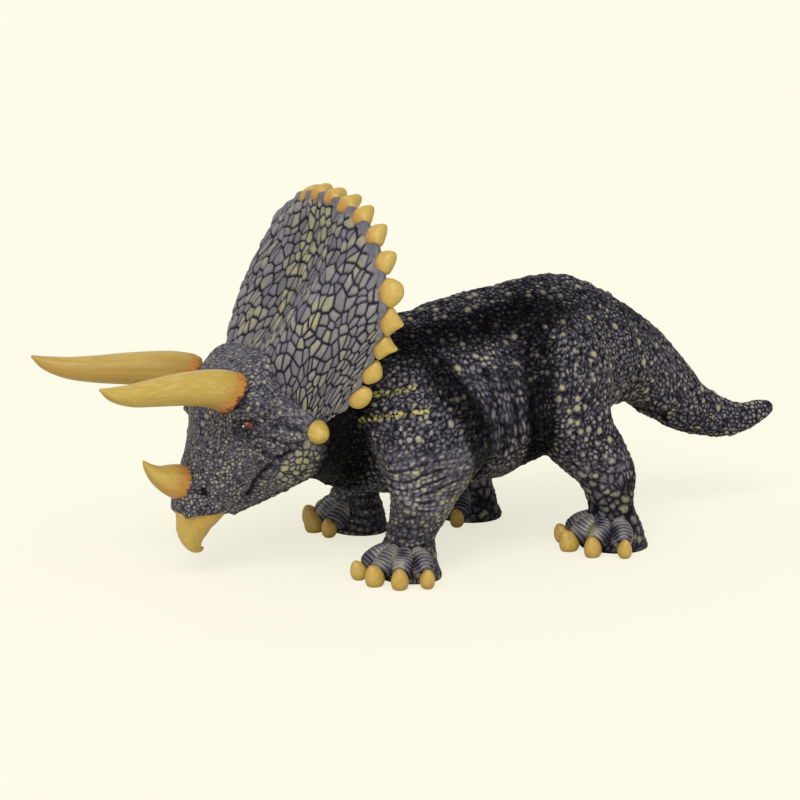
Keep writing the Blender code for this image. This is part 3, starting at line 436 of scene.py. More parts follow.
def soft_noise(points, size, salt):
    """Smooth random heights from -1 to 1: lattice corners mixed by eased shares."""
    place = points / size
    base = np.floor(place)
    share = place - base
    share = share * share * (3 - 2 * share)
    total = np.zeros(points.shape[:-1])
    for step in itertools.product((0, 1), repeat=points.shape[-1]):
        weight = np.prod(np.where(np.array(step), share, 1 - share), axis=-1)
        total += weight * (2 * lattice_noise(base + step, salt)[..., 0] - 1)
    return total


def build_mesh(name, points, quads, caps, attributes, material):
    """A mesh from points in millimetres, quads and caps, with its faces turned outwards."""
    sizes = np.concatenate([np.full(len(quads), 4), [len(cap) for cap in caps]]).astype(int)
    corners = np.concatenate([quads.ravel(), *caps])
    a, b, c, d = (points[quads[:, k]] for k in range(4))
    volume = (np.cross(a, b) * c).sum() + (np.cross(a, c) * d).sum()
    starts = np.concatenate([[0], np.cumsum(sizes)[:-1]])
    if volume < 0:
        owner = np.repeat(np.arange(len(sizes)), sizes)
        corners = corners[(2 * starts + sizes - 1)[owner] - np.arange(len(corners))]
    mesh = bpy.data.meshes.new(name)
    mesh.vertices.add(len(points))
    mesh.vertices.foreach_set("co", (points * MM).ravel())
    mesh.loops.add(len(corners))
    mesh.loops.foreach_set("vertex_index", corners.astype(np.int32))
    mesh.polygons.add(len(sizes))
    mesh.polygons.foreach_set("loop_start", starts.astype(np.int32))
    mesh.update(calc_edges=True)
    for key, values in attributes.items():
        kind, field = ("FLOAT", "value") if values.shape[1] == 1 else ("FLOAT_VECTOR", "vector")
        layer = mesh.attributes.new(key, kind, "POINT")
        layer.data.foreach_set(field, np.ascontiguousarray(values, dtype=np.float32).ravel())
    mesh.shade_smooth()
    mesh.set_sharp_from_angle(angle=SHARP_ANGLE)
    mesh.materials.append(material)
    return mesh


def grid_quads(rows, columns, start):
    """Corner numbers of the quads of a grid whose last column meets its first one."""
    row, column = np.meshgrid(np.arange(rows - 1), np.arange(columns), indexing="ij")
    here = row * columns + column
    beside = row * columns + (column + 1) % columns
    return start + np.stack([here, beside, beside + columns, here + columns], -1).reshape(-1, 4)


def new_object(name, data):
    """An object of the scene that holds some data."""
    made = bpy.data.objects.new(name, data)
    bpy.context.scene.collection.objects.link(made)
    return made


def add_piece(name, grids, material, slot, nodes=(), **attributes):
    """One piece of closed tubes: one grid or a list of them, whose columns run round and whose two
    ends are capped. Each attribute has values for every grid, or one number for all."""
    if isinstance(grids, np.ndarray):
        grids = [grids]
    points, quads, caps = [], [], []
    start = 0
    for grid in grids:
        rows, columns = grid.shape[:2]
        points.append(grid.reshape(-1, 3))
        quads.append(grid_quads(rows, columns, start))
        first = start + np.arange(columns)
        caps += [first[::-1], first + (rows - 1) * columns]
        start += rows * columns
    values = {}
    for key, parts in attributes.items():
        if isinstance(parts, (int, float)):
            parts = [np.full(grid.shape[:2], float(parts)) for grid in grids]
        elif isinstance(parts, np.ndarray):
            parts = [parts]
        flat = [part.reshape(grid.shape[0] * grid.shape[1], -1) for part, grid in zip(parts, grids)]
        values[key] = np.concatenate(flat)
    mesh = build_mesh(name, np.concatenate(points), np.concatenate(quads), caps, values, material)
    piece = new_object(name, mesh)
    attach(piece, "root")
    if nodes:
        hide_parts(*nodes)
    return piece


def skin_piece(name, grids, material, nodes, relief, tint, soot, olive, stripe=0.0):
    """A piece of painted skin, with what its paint takes from each point."""
    return add_piece(name, grids, material, "skin", nodes,
                     relief=relief, tint=tint, soot=soot, olive=olive, stripe=stripe)


def horny_piece(name, grids, material, nodes, foot, grain, shade):
    """A painted horny piece: how far points lie from its foot, their grain and their shade."""
    return add_piece(name, grids, material, "horn", nodes, foot=foot, grain=grain, shade=shade)


# Scales: small cells everywhere, rows of them round the forelegs and larger knobs among them

FINE, PLATE, KNOB = 1.0, 1.8, 2.2
ROWS = np.array((1.3, 1.3, 0.85))
ROW_JITTER = np.array((0.9, 0.9, 0.35))
STREAKS = np.array((0.8, 0.8, 2.8))
WRINKLE_STEP = 1.7
FINE_HEIGHT, PLATE_HEIGHT, ROW_HEIGHT, KNOB_HEIGHT = 0.24, 0.36, 0.26, 0.42


def dome(border, edge):
    """Height of a rounded scale from 0 in its groove to 1 on top."""
    return 1 - (1 - np.clip(border / edge, 0, 1)) ** 2


def scaly(points, rows=0.0, plates=0.0, knobs=0.2, growth=1.0, streaks=0.0):
    """Height in millimetres, relief from 0 to 1 and tint of the scales at points of the skin.
    Rows and plates are shares of those kinds of scale, knobs the share of places with a knob."""
    points = points / growth
    points = points + 0.3 * np.stack([soft_noise(points, 2.6, salt) for salt in (1.0, 2.0, 3.0)], -1)
    zero = np.zeros(points.shape[:-1])
    rows, plates, knobs, streaks = (value + zero for value in (rows, plates, knobs, streaks))
    height, relief, tint = zero.copy(), zero.copy(), zero.copy()
    for share, size, jitter, tall, edge, salt in (
        (1 - rows - plates - streaks, FINE, 0.95, FINE_HEIGHT, 0.5, 5.0),
        (plates, PLATE, 0.9, PLATE_HEIGHT, 0.36, 7.0),
        (rows, ROWS, ROW_JITTER, ROW_HEIGHT, 0.44, 9.0),
        (streaks, STREAKS, 0.95, FINE_HEIGHT, 0.5, 13.0),
    ):
        chosen = share > 0.01
        if not chosen.any():
            continue
        border, _, number = cells(points[chosen], size, salt, jitter)
        rounded = dome(border, edge)
        height[chosen] += share[chosen] * tall * rounded * (0.5 + 0.7 * number)
        relief[chosen] += share[chosen] * rounded * (0.75 + 0.25 * number)
        tint[chosen] += share[chosen] * number
    _, centre, number = cells(points, KNOB, 11.0, 0.85)
    radius = 0.27 + 0.16 * np.clip(number / np.maximum(knobs, 0.01), 0, 1)
    knob = np.where(number < knobs, np.sqrt(np.clip(1 - (centre / radius) ** 2, 0, 1)), 0)
    rim = np.where(number < knobs, ease(centre / radius, 1.45, 1.0), 0)
    height = np.maximum(height * (1 - 0.3 * rim), KNOB_HEIGHT * knob)
    relief = np.maximum(relief * (1 - 0.35 * rim), knob)
    tint = np.where(knob > 0.2, 0.7 + 0.3 * number / np.maximum(knobs, 0.01), tint)
    return height * growth, relief, tint


def valley(points, marks, width):
    """1 along a line of (x, z) marks, seen square from either side, fading over the width."""
    x, z = points[..., 0], points[..., 2]
    nearest = np.full(x.shape, 1e9)
    for (x0, z0), (x1, z1) in zip(marks[:-1], marks[1:]):
        length = (x1 - x0) ** 2 + (z1 - z0) ** 2
        share = np.clip(((x - x0) * (x1 - x0) + (z - z0) * (z1 - z0)) / length, 0, 1)
        away = np.hypot(x - x0 - share * (x1 - x0), z - z0 - share * (z1 - z0))
        nearest = np.minimum(nearest, away)
    return np.exp(-((nearest / width) ** 2))


def spots(points, marks):
    """Sum of soft round spots (x, z, radius, amount), seen square from either side."""
    x, z = points[..., 0], points[..., 2]
    return sum(
        amount * np.exp(-((x - x0) ** 2 + (z - z0) ** 2) / radius**2)
        for x0, z0, radius, amount in marks
    )


# Places on the flanks as (x, z), read on the near side and mirrored

SHOULDER_CREASE = (
    (-12.0, 49.0), (-9.5, 43.5), (-6.9, 36.5), (-3.4, 30.4), (-1.8, 26.3), (-1.2, 21.5), (-1.4, 17.5),
)
THIGH_CREASE = ((15.5, 51.0), (13.6, 43.2), (12.0, 35.0), (11.5, 29.0), (11.8, 24.0), (12.8, 19.0))
FLANK_FOLDS = (
    ((-3.0, 36.0), (0.2, 28.0), (2.2, 21.5)),
    ((1.6, 37.5), (3.2, 29.0), (4.4, 22.5)),
    ((5.6, 38.5), (6.2, 30.0), (7.0, 24.5)),
    ((8.4, 42.0), (8.6, 35.0), (9.6, 28.0)),
)
STRIPES = (
    ((-21.4, 34.9), (-18.2, 35.3), (-13.8, 36.1)),
    ((-23.2, 30.2), (-18.2, 31.5), (-12.1, 31.9)),
)
KNOB_SPOTS = ((-4.0, 41.0, 4.5, 0.6), (4.0, 42.0, 4.5, 0.6), (-7.0, 14.5, 4.0, 0.5), (-12.0, 27.0, 6.0, 0.3))
OLIVE_SPOTS = (
    (-3.0, 41.0, 5.0, 0.35), (3.0, 42.0, 5.0, 0.35), (7.0, 21.0, 3.5, 0.9), (17.0, 43.0, 5.0, 0.5),
    (17.5, 36.0, 6.0, 0.6), (18.0, 28.0, 5.0, 0.55), (27.0, 40.0, 5.0, 0.25), (26.0, 18.0, 6.0, 0.35),
    (-12.0, 25.0, 8.0, 0.3), (-7.0, 15.0, 4.0, 0.35), (-20.0, 42.0, 4.0, 0.3),
)


def lumps(points, calm):
    """Broad soft unevenness of the body, less where it is calm and towards the tail."""
    steady = np.maximum(0.45 * calm, 0.6 * ease(points[..., 0], 28, 38))
    return 0.5 * (1 - steady) * soft_noise(points, 7.0, 21.0) + 0.2 * soft_noise(points, 3.2, 22.0)


def body_skin(name, points, middle, side_name, part, material, nodes):
    """Lays scales, folds and wrinkle rings on a grid of body points and adds it as a piece."""
    normal = grid_normals(points, part == "leg", middle)
    x, z = points[..., 0], points[..., 2]
    _, trunk, leg = body_distance(points, side_name)
    on_leg = ease(trunk - leg, -2.0, 2.0)
    other = leg - trunk if part == "leg" else trunk - leg
    inset = 0.3 * ease(other, 0.0, 1.2)
    front = ease(x, 8.0, 2.0)
    ringed = on_leg * front * ease(z, 27.0, 20.0)
    thigh = on_leg * (1 - front)
    top, _, widest, _, _ = trunk_at(x)
    back = (z - widest) / (top - widest)
    knobs = 0.15 + 0.5 * thigh * ease(z, 14, 20) + 0.5 * ease(back, 0.85, 0.95) + 0.1 * (1 - on_leg)
    knobs += spots(points, KNOB_SPOTS)
    between = (1 - on_leg) * ease(z, 39, 34) * ease(x, -6, -2) * ease(x, 14, 11)
    plated = 0.75 * thigh * ease(z, 22, 14)
    knobs *= (1 - 0.7 * ringed) * (1 - 0.6 * between)
    height, relief, tint = scaly(points, ringed, plated, knobs, streaks=0.8 * between)
    slant = 0.08 + 0.16 * ease(z, 8, 22)
    wave = z + 0.9 * soft_noise(points, 4.5, 31.0) - slant * (x + 10)
    ring = np.cos(2 * math.pi * wave / WRINKLE_STEP)
    creased = ringed * ease(normal[..., 0], 0.55, 0.0) * ease(soft_noise(points, 3.0, 35.0), -0.7, 0.2)
    height -= 0.2 * creased * ease(ring, -0.4, -1.0)
    relief = 0.25 * ringed + (1 - 0.25 * ringed) * relief
    relief = relief * (1 - 0.6 * creased * ease(ring, -0.3, -0.95))
    height += lumps(points, on_leg) + 0.35 * ease(back, 0.8, 0.95) * soft_noise(points, 1.9, 34.0)
    fold = sum(valley(points, marks, 0.7) for marks in FLANK_FOLDS)
    height -= 0.4 * fold * (1 - on_leg)
    soot = np.maximum(valley(points, SHOULDER_CREASE, 3.0), valley(points, THIGH_CREASE, 2.9))
    soot *= 1 - 0.6 * ease(back, 0.84, 0.97)
    folded = 0.75 * np.clip(fold, 0, 1) * (1 - on_leg)
    soot = np.maximum(np.clip(1.8 * soot, 0, 1) * (1 - 0.1 * on_leg), folded)
    along_back = ease(back, 0.55, 0.78) * (1 - 0.75 * ease(x, 18, 33)) * (1 - 0.45 * ease(back, 0.88, 0.96))
    neck = ease(x, -16, -22) * ease(z, 42, 36) * (1 - on_leg)
    # Painted shade: low down on the far hind leg, and along the underside of the belly
    far = 0.2 if nodes[0] == "hindleg_right" else 0.0
    shaded = far * ease(z, 30, 18) * on_leg
    belly = 0.55 * ease(-back, 0.75, 1.0)
    soot = np.maximum.reduce([soot, along_back, neck, shaded, belly])
    murk = 0.45 * ease(soft_noise(points, 6.0, 33.0), 0.0, 0.7) * (1 - 0.6 * on_leg)
    soot = np.maximum(soot, murk * ease(x, 34, 26))
    banded = ringed * (0.7 * ease(ring, 0.1, 0.9) - 0.15)
    olive = np.clip(0.45 + spots(points, OLIVE_SPOTS) + banded, 0, 1)
    stripe = ease(sum(valley(points, marks, 0.55) for marks in STRIPES), 0.3, 0.7) * ease(-x, 4, 8)
    height += 0.25 * stripe * (0.3 + 0.7 * relief)
    shift = (height - inset) * ease(z, 0.0, 1.0) if part == "leg" else height - inset
    shift -= 0.5 * ease(back, 0.5, 0.95) * ease(x, -24, -14) * ease(x, 20, 12)
    shift -= 1.0 * ease(-back, 0.5, 0.9) * ease(x, -3, 3) * ease(x, 20, 14) * (1 - on_leg)
    heel = ease(normal[..., 0], 0.1, 0.9) * on_leg * ease(z, 0, 3)
    shift -= heel * np.where(x > 5, 0.7 * ease(z, 28, 22) + 0.5 * ease(z, 14, 10), 0.9 * ease(z, 10, 7))
    points = points + normal * shift[..., None]
    points[..., 2] = np.maximum(points[..., 2], 0)
    return skin_piece(name, points, material, nodes, relief, tint, soot, olive, stripe)


def trunk_piece(side_name, material):
    """One half of the trunk: sections swept from the top to the belly, closed along the middle."""
    side = -1 if side_name == "left" else 1
    x = np.linspace(TRUNK_LOW[0], TRUNK_HIGH[0], int(TRUNK_LENGTH / SKIN_STEP))[:, None]
    angle = np.linspace(math.pi / 2, -math.pi / 2, int(TRUNK_GIRTH / SKIN_STEP))[None, :]
    top, bottom, widest, half, pinch = trunk_at(x)
    wide, high = section(angle, half, top - widest, widest - bottom, pinch)
    flat = together(0 * x, side * wide, high)
    way = unit(flat)
    start = together(x, 0 * x, widest) + 0 * way
    points = start + way * reach_surface(start, way, np.linalg.norm(flat, axis=-1), side_name)[..., None]
    nodes = (f"torso_{side_name}_shell",)
    return body_skin(f"torso_{side_name}_skin", points, start, side_name, "trunk", material, nodes)


def leg_piece(name, material):
    """A leg: level sections round its middle line, grown onto the joined body."""
    side_name = name.split("_")[1]
    top = LEGS[name][-1, 0]
    z = np.linspace(0, top, int(top / SKIN_STEP))[:, None]
    middle_x, middle_y, half_length, half_width, _ = leg_at(name, z)
    angle = full_turn(int(LEG_GIRTH / SKIN_STEP))
    flat = together(half_length * np.cos(angle), half_width * np.sin(angle), 0 * z)
    way = unit(flat)
    start = together(middle_x, middle_y, z) + 0 * way
    points = start + way * reach_surface(start, way, np.linalg.norm(flat, axis=-1), side_name)[..., None]
    return body_skin(f"{name}_skin", points, start, side_name, "leg", material, (name,))


def tail_piece(material):
    """The tail: sections square to its falling middle line."""
    high = box_mm("tail")[1]
    root_x = TRUNK_HIGH[0]
    top, bottom, widest, half, pinch = (float(value) for value in trunk_at(root_x))
    rows = smooth(TAIL_SHARES, int(TAIL_RUN / SKIN_STEP))
    path = np.stack([root_x + rows[:, 0] * (high[0] - root_x), 0 * rows[:, 0],
                     widest - TAIL_DROP + rows[:, 1] * TAIL_DROP], 1)
    ways = unit(np.gradient(path, axis=0))
    turn = ease(rows[:, :1], 0, 2 * TAIL_TURN_SHARE)
    ways = unit(turn * ways + (1 - turn) * np.array((1.0, 0.0, 0.0)))
    upward = np.cross(ways, (0, 1, 0))
    upward *= np.sign(upward[:, 2:])
    angle = full_turn(int(TAIL_GIRTH / SKIN_STEP))
    rise = np.sin(angle)
    share = rows[:, 2:3]
    up, down = share * (top - widest), share * (widest - bottom)
    points = sweep(path, np.array((0, 1, 0)), upward, *section(angle, share * half, up, down, pinch))
    normal = grid_normals(points, True, path[:, None])
    along = rows[:, :1] + 0 * rise
    height, relief, tint = scaly(points, knobs=0.35 * (1 - along) + 0.12)
    height = (height + lumps(points, 0.0)) * ease(along, 1.0, 0.9)
    soot = 0.7 * ease(rise + 0 * along, 0.5, 0.85) * ease(along, 0.35, 0.0)
    # Painted shade along the underside of the tail
    soot = np.maximum(soot, 0.5 * ease(-rise + 0 * along, 0.3, 1.0))
    olive = 0.42 + 0.35 * ease(rise + 0 * along, 0.3, 0.9)
    points = points + normal * height[..., None]
    points[..., 2] += 0.75 * ease(along, 0, 0.25) * (1 - 0.6 * ease(along, 0.75, 1))
    return skin_piece("tail_skin", points, material, ("tail",), relief, tint, soot, olive)


def head_frame(share):
    """Middle, upward way, up, down, half width and pinch of the head's sections."""
    table = smooth(HEAD_SHARES, 200)
    place = np.linspace(0, 1, len(table))
    reach, drop, turn, up, down, half, pinch = (np.interp(share, place, table[:, k]) for k in range(7))
    tilt = turn * HEAD_TILT
    middle = NECK + np.stack([-reach * HEAD_REACH, 0 * reach, -drop * HEAD_DROP], -1)
    upward = np.stack([-np.sin(tilt), 0 * tilt, np.cos(tilt)], -1)
    return middle, upward, up * HEAD_DEPTH, down * HEAD_DEPTH, half * HEAD_WIDTH / 2, pinch


def head_surface(share, angle):
    """Points of the skull's form: share runs from the neck to the snout, angle round the section."""
    middle, upward, up, down, half, pinch = head_frame(share)
    wide, tall = section(angle, half, up, down, pinch)
    return middle + wide[..., None] * np.array((0, 1, 0)) + tall[..., None] * upward


def head_place(reach, side, rise):
    """A point by shares of the head's reach, half width and depth from the neck joint."""
    return NECK + np.array((-reach * HEAD_REACH, side * HEAD_WIDTH / 2, rise * HEAD_DEPTH))


BEAK_JOINT = NECK + np.array((-BEAK_PLACE_SHARES[0] * HEAD_REACH, 0, -BEAK_PLACE_SHARES[1] * HEAD_DROP))
MOUTH_START = BEAK_JOINT + np.array((BEAK_JOINT_LENGTH / 2, 0, 0))
MOUTH_WAY = np.array((math.cos(JAW_SLOPE), 0, math.sin(JAW_SLOPE)))
MOUTH_SQUARE = np.array((-MOUTH_WAY[2], 0, MOUTH_WAY[0]))

# Knolls and hollows of the head as (x, distance from the middle plane, z, radius, height)

HEAD_KNOLLS = (
    (-42.0, 8.5, 40.5, 4.6, 2.6),
    (-43.5, 9.5, 34.2, 2.4, 0.9),
    (-46.5, 8.5, 33.6, 2.2, 0.6),
    (-33.4, 13.5, 29.5, 4.5, 0.9),
    (-36.5, 10.0, 23.5, 4.5, 0.8),
    (-53.0, 4.5, 17.8, 2.4, 0.6),
    (-53.0, 5.0, 17.8, 0.9, -1.3),
    (-46.2, 10.5, 31.2, 2.0, -0.9),
    (-50.5, 6.5, 30.5, 3.0, -0.7),
    (-39.5, 11.5, 32.5, 2.5, -0.5),
)
HEAD_LINES = (
    ((-50.4, 33.6), (-48.3, 34.0), (-45.8, 34.6), (-43.0, 33.4)),
    ((-49.0, 30.9), (-47.8, 32.3), (-46.2, 32.8), (-44.0, 32.0)),
    ((-48.8, 30.2), (-46.5, 29.4), (-44.3, 30.3)),
)
HEAD_WRINKLES = (
    ((-43.4, 28.8), (-40.0, 27.6), (-36.5, 27.2)),
    ((-42.5, 31.2), (-39.5, 31.0), (-36.5, 29.6)),
    ((-45.0, 27.0), (-42.0, 25.0), (-40.0, 24.0)),
)
JAW_CREASE = ((-44.6, 16.8), (-44.2, 18.5), (-43.8, 20.1), (-42.9, 22.0), (-40.8, 24.7), (-38.2, 26.3))
HEAD_OLIVE = (
    (-37.0, 22.0, 4.5, 0.55), (-53.0, 18.5, 3.0, 0.2), (-49.0, 24.5, 3.0, 0.3), (-45.0, 39.0, 4.0, 0.25),
    (-47.0, 15.5, 2.5, 0.25),
)
JAW_PATCH = ((-36.5, 22.5, 5.0, 1.0),)
NOSTRIL = ((-53.0, 17.8, 0.9, 1.0),)
EYE_SOCKET = ((-46.9, 31.2, 2.3, 1.0),)


def knolls(points, marks):
    """Sum of soft round hills and hollows, mirrored about the middle plane."""
    mirrored = points * (1, 0, 1) + np.abs(points) * (0, 1, 0)
    return sum(
        tall * np.exp(-((mirrored - place) ** 2).sum(-1) / radius**2)
        for *place, radius, tall in marks
    )


def head_piece(material):
    """The skull from the neck joint to the flat joint of the beak."""
    rows, columns = int(HEAD_RUN / HEAD_STEP), int(HEAD_GIRTH / HEAD_STEP)
    share = np.linspace(0, 1, rows)[:, None] + np.zeros((1, columns))
    angle = full_turn(columns) + 0 * share
    points = head_surface(share, angle)
    normal = grid_normals(points, True, head_frame(share)[0])
    x, z = points[..., 0], points[..., 2]
    jaw_patch = spots(points, JAW_PATCH)
    plated = np.maximum(0.6 * ease(x, -41, -36), ease(jaw_patch, 0.2, 0.6))
    height, relief, tint = scaly(points, knobs=0.12 + 0.4 * jaw_patch, plates=plated, growth=0.72)
    relief = 0.17 + 0.83 * relief
    tint = tint + 0.15 * jaw_patch
    height += knolls(points, HEAD_KNOLLS) + 0.2 * soft_noise(points, 3.5, 41.0)
    on_side = ease(np.abs(points[..., 1]), 4.0, 7.0)
    ridge = sum(valley(points, marks, 0.65) for marks in HEAD_LINES) * on_side
    wrinkle = sum(valley(points, marks, 0.5) for marks in HEAD_WRINKLES) * on_side
    crease = valley(points, JAW_CREASE, 0.7)
    height += 0.9 * ridge - 0.35 * wrinkle - 0.7 * crease
    under = (points - MOUTH_START) @ MOUTH_SQUARE
    along = (points - MOUTH_START) @ MOUTH_WAY
    height -= 1.2 * ease(-under, -0.2, 0.2) * ease(along, -1, 0) * ease(JAW_LENGTH - along, -0.5, 0.5)
    lip = np.exp(-(under / 0.5) ** 2) * ease(along, -1, 0) * ease(JAW_LENGTH - along, -0.5, 1.5)
    nostril = spots(points, NOSTRIL)
    socket = spots(points, EYE_SOCKET) * on_side
    points = points + normal * height[..., None]
    above = points[..., 2] - BEAK_JOINT[2]
    front = BEAK_JOINT[0] - BEAK_JOINT_LENGTH / 2 + 1.4 - 0.42 * np.maximum(above, 0)
    points[..., 0] = np.where(above < 4.0, np.maximum(points[..., 0], front), points[..., 0])
    before = points[..., 0] < MOUTH_START[0]
    lowest = BEAK_JOINT[2] - 0.7 + 0.36 * np.abs(points[..., 1])
    points[..., 2] = np.where(before, np.maximum(points[..., 2], lowest), points[..., 2])
    soot = ease(x, -34.0, -30.5) * ease(z, 38, 34)
    soot = np.maximum.reduce([soot, 0.9 * crease, 0.7 * wrinkle, nostril, 0.85 * socket, 0.8 * lip])
    olive = np.clip(0.36 + spots(points, HEAD_OLIVE), 0, 1)
    return skin_piece("head_skin", points, material, ("head",), relief, tint, soot, olive)


def jaw_piece(material):
    """The lower jaw: the strip of the skull's form under the mouth line, as a shell."""
    rows, columns = int(JAW_RUN / HEAD_STEP), int(JAW_GIRTH / HEAD_STEP)
    share = np.linspace(0.30, 0.86, rows)[:, None]
    low, high = np.full((rows, 1), -math.pi / 2), np.full((rows, 1), 0.6)
    for _ in range(20):
        middle = (low + high) / 2
        under = (head_surface(share, middle) - MOUTH_START) @ MOUTH_SQUARE < -0.15
        low, high = np.where(under, middle, low), np.where(under, high, middle)
    half = (low + high) / 2 + math.pi / 2
    angle = -math.pi / 2 + np.linspace(-1, 1, columns)[None, :] * half
    points = head_surface(share + 0 * angle, angle)
    normal = grid_normals(points, False, head_frame(share + 0 * angle)[0])
    jaw_patch = spots(points, JAW_PATCH)
    height, relief, tint = scaly(points, knobs=0.15 + 0.75 * jaw_patch)
    outer = points + normal * (height - 0.1)[..., None]
    inner = points - normal * JAW_THICKNESS
    both = np.concatenate([outer, inner[:, ::-1]], 1)
    along = (both - MOUTH_START) @ MOUTH_WAY
    both = both + (np.clip(along, 0, JAW_LENGTH) - along)[..., None] * MOUTH_WAY
    relief, tint = (np.concatenate([value, 0 * value], 1) for value in (relief, tint))
    olive = np.clip(0.3 + spots(both, HEAD_OLIVE), 0, 1)
    return skin_piece("lower_jaw_skin", both, material, ("lower_jaw",), relief, tint, 0.1, olive)


def horn_piece(name, path, radii, material, nodes, root, extra_shade=0.0, flare=0.0, cut=None):
    """A horn of round sections along a path, with faint lengthwise ridges. Its root flares downwards
    and may be cut by a slanted plane: (x, z) of a point of the plane and its slope."""
    ways = unit(np.gradient(path, axis=0))
    across = unit(np.cross((0, 0, 1), ways))
    upward = np.cross(ways, across)
    angle = full_turn(HORN_SIDES)
    share = np.linspace(0, 1, len(path))[:, None]
    ridges = 0.014 * np.cos(9 * angle + 3 * np.sin(5 * share)) + 0.012 * np.cos(17 * angle + 2)
    radius = radii[:, None] * (1 + ridges * (1 - share))
    grid = sweep(path, across[:, None], upward, radius * np.cos(angle), radius * np.sin(angle))
    length = lengths_along(path)[:, None]
    grid[..., 2] -= flare * ease(length, HORN_FLARE_REACH, 0) * np.maximum(-np.sin(angle), 0)
    foot = length - root + 0 * angle
    if cut:
        edge = cut[0] + cut[2] * (grid[..., 2] - cut[1])
        grid[..., 0] = np.minimum(grid[..., 0], edge)
        foot = edge - grid[..., 0] - root
    grain = together(foot * 0.06, np.cos(angle), np.sin(angle))
    # Painted shade: deeper on the underside, and raised further for some horns
    shade = 0.5 - 0.5 * np.sin(angle) + extra_shade + 0 * foot
    return horny_piece(name, grid, material, nodes, foot, grain, shade)


# The brow horns' roots: where they start and are full, how far they hang, swell and flare, and the
# slanted plane that cuts them; sides of every horn, and how far the brow horns bow and how slim they are

HORN_ROOT, HORN_DROOP, HORN_SWELL = (0.6, 2.6), 0.9, 0.08
HORN_FLARE, HORN_FLARE_REACH, HORN_CUT = 1.5, 9.0, (-46.6, 39.7, 0.72)
HORN_SIDES, BROW_HORN_BOW, BROW_HORN_SLIM = 96, 0.45, 0.97


def horn_pieces(material):
    """The two brow horns, the nose horn and the two cheek horns."""
    for side, side_name in ((-1, "left"), (1, "right")):
        rows = smooth(BROW_HORN_SHARES, 160)
        reach, wide, rise = BROW_HORN_PLACE_SHARES
        steps = np.array((-BROW_HORN_LENGTH, side * BROW_HORN_SPLAY, BROW_HORN_RISE))
        path = head_place(reach, side * wide, rise) + rows[:, [0, 2, 1]] * steps
        path[:, 2] -= side * BROW_HORN_BOW * np.sin(math.pi * rows[:, 0])
        radii = np.maximum(rows[:, 3], 0.02) * BROW_HORN_RADIUS * BROW_HORN_SLIM
        length = rows[:, 0] * BROW_HORN_LENGTH
        path[:, 2] -= HORN_DROOP * ease(length, HORN_ROOT[1], 0)
        swell = 1 + HORN_SWELL * ease(length, HORN_ROOT[1], HORN_ROOT[0])
        inside = np.clip((length - HORN_ROOT[0]) / (HORN_ROOT[1] - HORN_ROOT[0]), 0.02, 1)
        kept = length > HORN_ROOT[0]
        radii *= swell * np.sqrt(1 - (1 - inside) ** 2)
        # Painted shade on the far brow horn
        extra_shade = 0.75 if side > 0 else 0.0
        brow = f"brow_horn_{side_name}"
        horn_piece(f"{brow}_paint", path[kept], radii[kept], material, (brow,), 0.2, extra_shade,
                   HORN_FLARE, HORN_CUT)
        rows = smooth(CHEEK_HORN_SHARES, 60)
        reach, wide, rise = CHEEK_HORN_PLACE_SHARES
        steps = np.array((0, side, -CHEEK_HORN_DROP_SHARE)) * CHEEK_HORN_LENGTH
        path = head_place(reach, side * wide, rise) + rows[:, :1] * steps
        radii = rows[:, 1] * CHEEK_HORN_RADIUS
        cheek = f"cheek_horn_{side_name}"
        horn_piece(f"{cheek}_paint", path, radii, material, (cheek,), -3.5)
    rows = smooth(NOSE_HORN_SHARES, 90)
    reach, drop = NOSE_HORN_PLACE_SHARES
    start = NECK + np.array((-reach * HEAD_REACH, 0, -drop * HEAD_DROP))
    path = start + np.stack([-rows[:, 0] * NOSE_HORN_LENGTH, 0 * rows[:, 0], rows[:, 1] * NOSE_HORN_RISE], 1)
    kept = rows[:, 0] * NOSE_HORN_LENGTH > NOSE_HORN_START
    horn_piece("nose_horn_paint", path[kept], rows[kept, 2] * NOSE_HORN_RADIUS, material, ("nose_horn",), 0.3)


BEAK_PATH_SHARES = (
    (-0.030, -0.120, 0.467, 1.00),
    (0.068, 0.170, 0.357, 0.87),
    (0.140, 0.360, 0.298, 0.70),
    (0.165, 0.540, 0.245, 0.54),
    (0.150, 0.700, 0.190, 0.40),
    (0.105, 0.840, 0.135, 0.28),
    (0.050, 0.915, 0.085, 0.18),
    (0.000, 0.930, 0.050, 0.11),
    (-0.035, 0.905, 0.018, 0.05),
)


def beak_piece(material):
    """The beak: sections that shrink along a path down from the snout and back to a hooked tip."""
    rows = smooth(BEAK_PATH_SHARES, 110)
    forward, depth, long, wide = rows.T
    path = BEAK_JOINT + np.stack([-forward * BEAK_JOINT_LENGTH, 0 * forward, -depth * BEAK_DEPTH], 1)
    ways = unit(np.gradient(path, axis=0))
    turn = ease(depth[:, None], 0.3, 0.85)
    ways = unit(turn * ways + (1 - turn) * np.array((0.0, 0.0, -1.0)))
    lengthways = np.cross((0, 1, 0), ways)
    angle = full_turn(120)
    long_part = long[:, None] * BEAK_JOINT_LENGTH * np.sin(angle)
    grid = path[:, None] + long_part[..., None] * lengthways[:, None]
    grid[..., 1] += wide[:, None] * BEAK_WIDTH / 2 * np.cos(angle)
    foot = 4 + BEAK_DEPTH * np.linspace(0, 1, len(rows))[:, None] + 0 * angle
    grain = together(foot * 0.2, np.cos(angle), np.sin(angle))
    # Painted shade, deeper towards the hook's tip
    shade = 0.6 + 0.4 * ease(foot, 7, 11.5)
    return horny_piece("beak_paint", grid, material, ("beak",), foot, grain, shade)


# The head is held a little to one side: how far the far half of the shield is turned in at middle
# height and at its top corner, how much flatter it is, and how far its studs are sunk inwards and back

FRILL_TURN, FRILL_TOP_TURN = np.array((1.4, -1.2, 0.0)), np.array((0.4, -1.3, -0.5))
FRILL_FLATTENED = 0.1
STUD_SINK, STUD_SINK_BACK = 1.1, 0.6
SCUTE = np.array((2.1, 2.6))


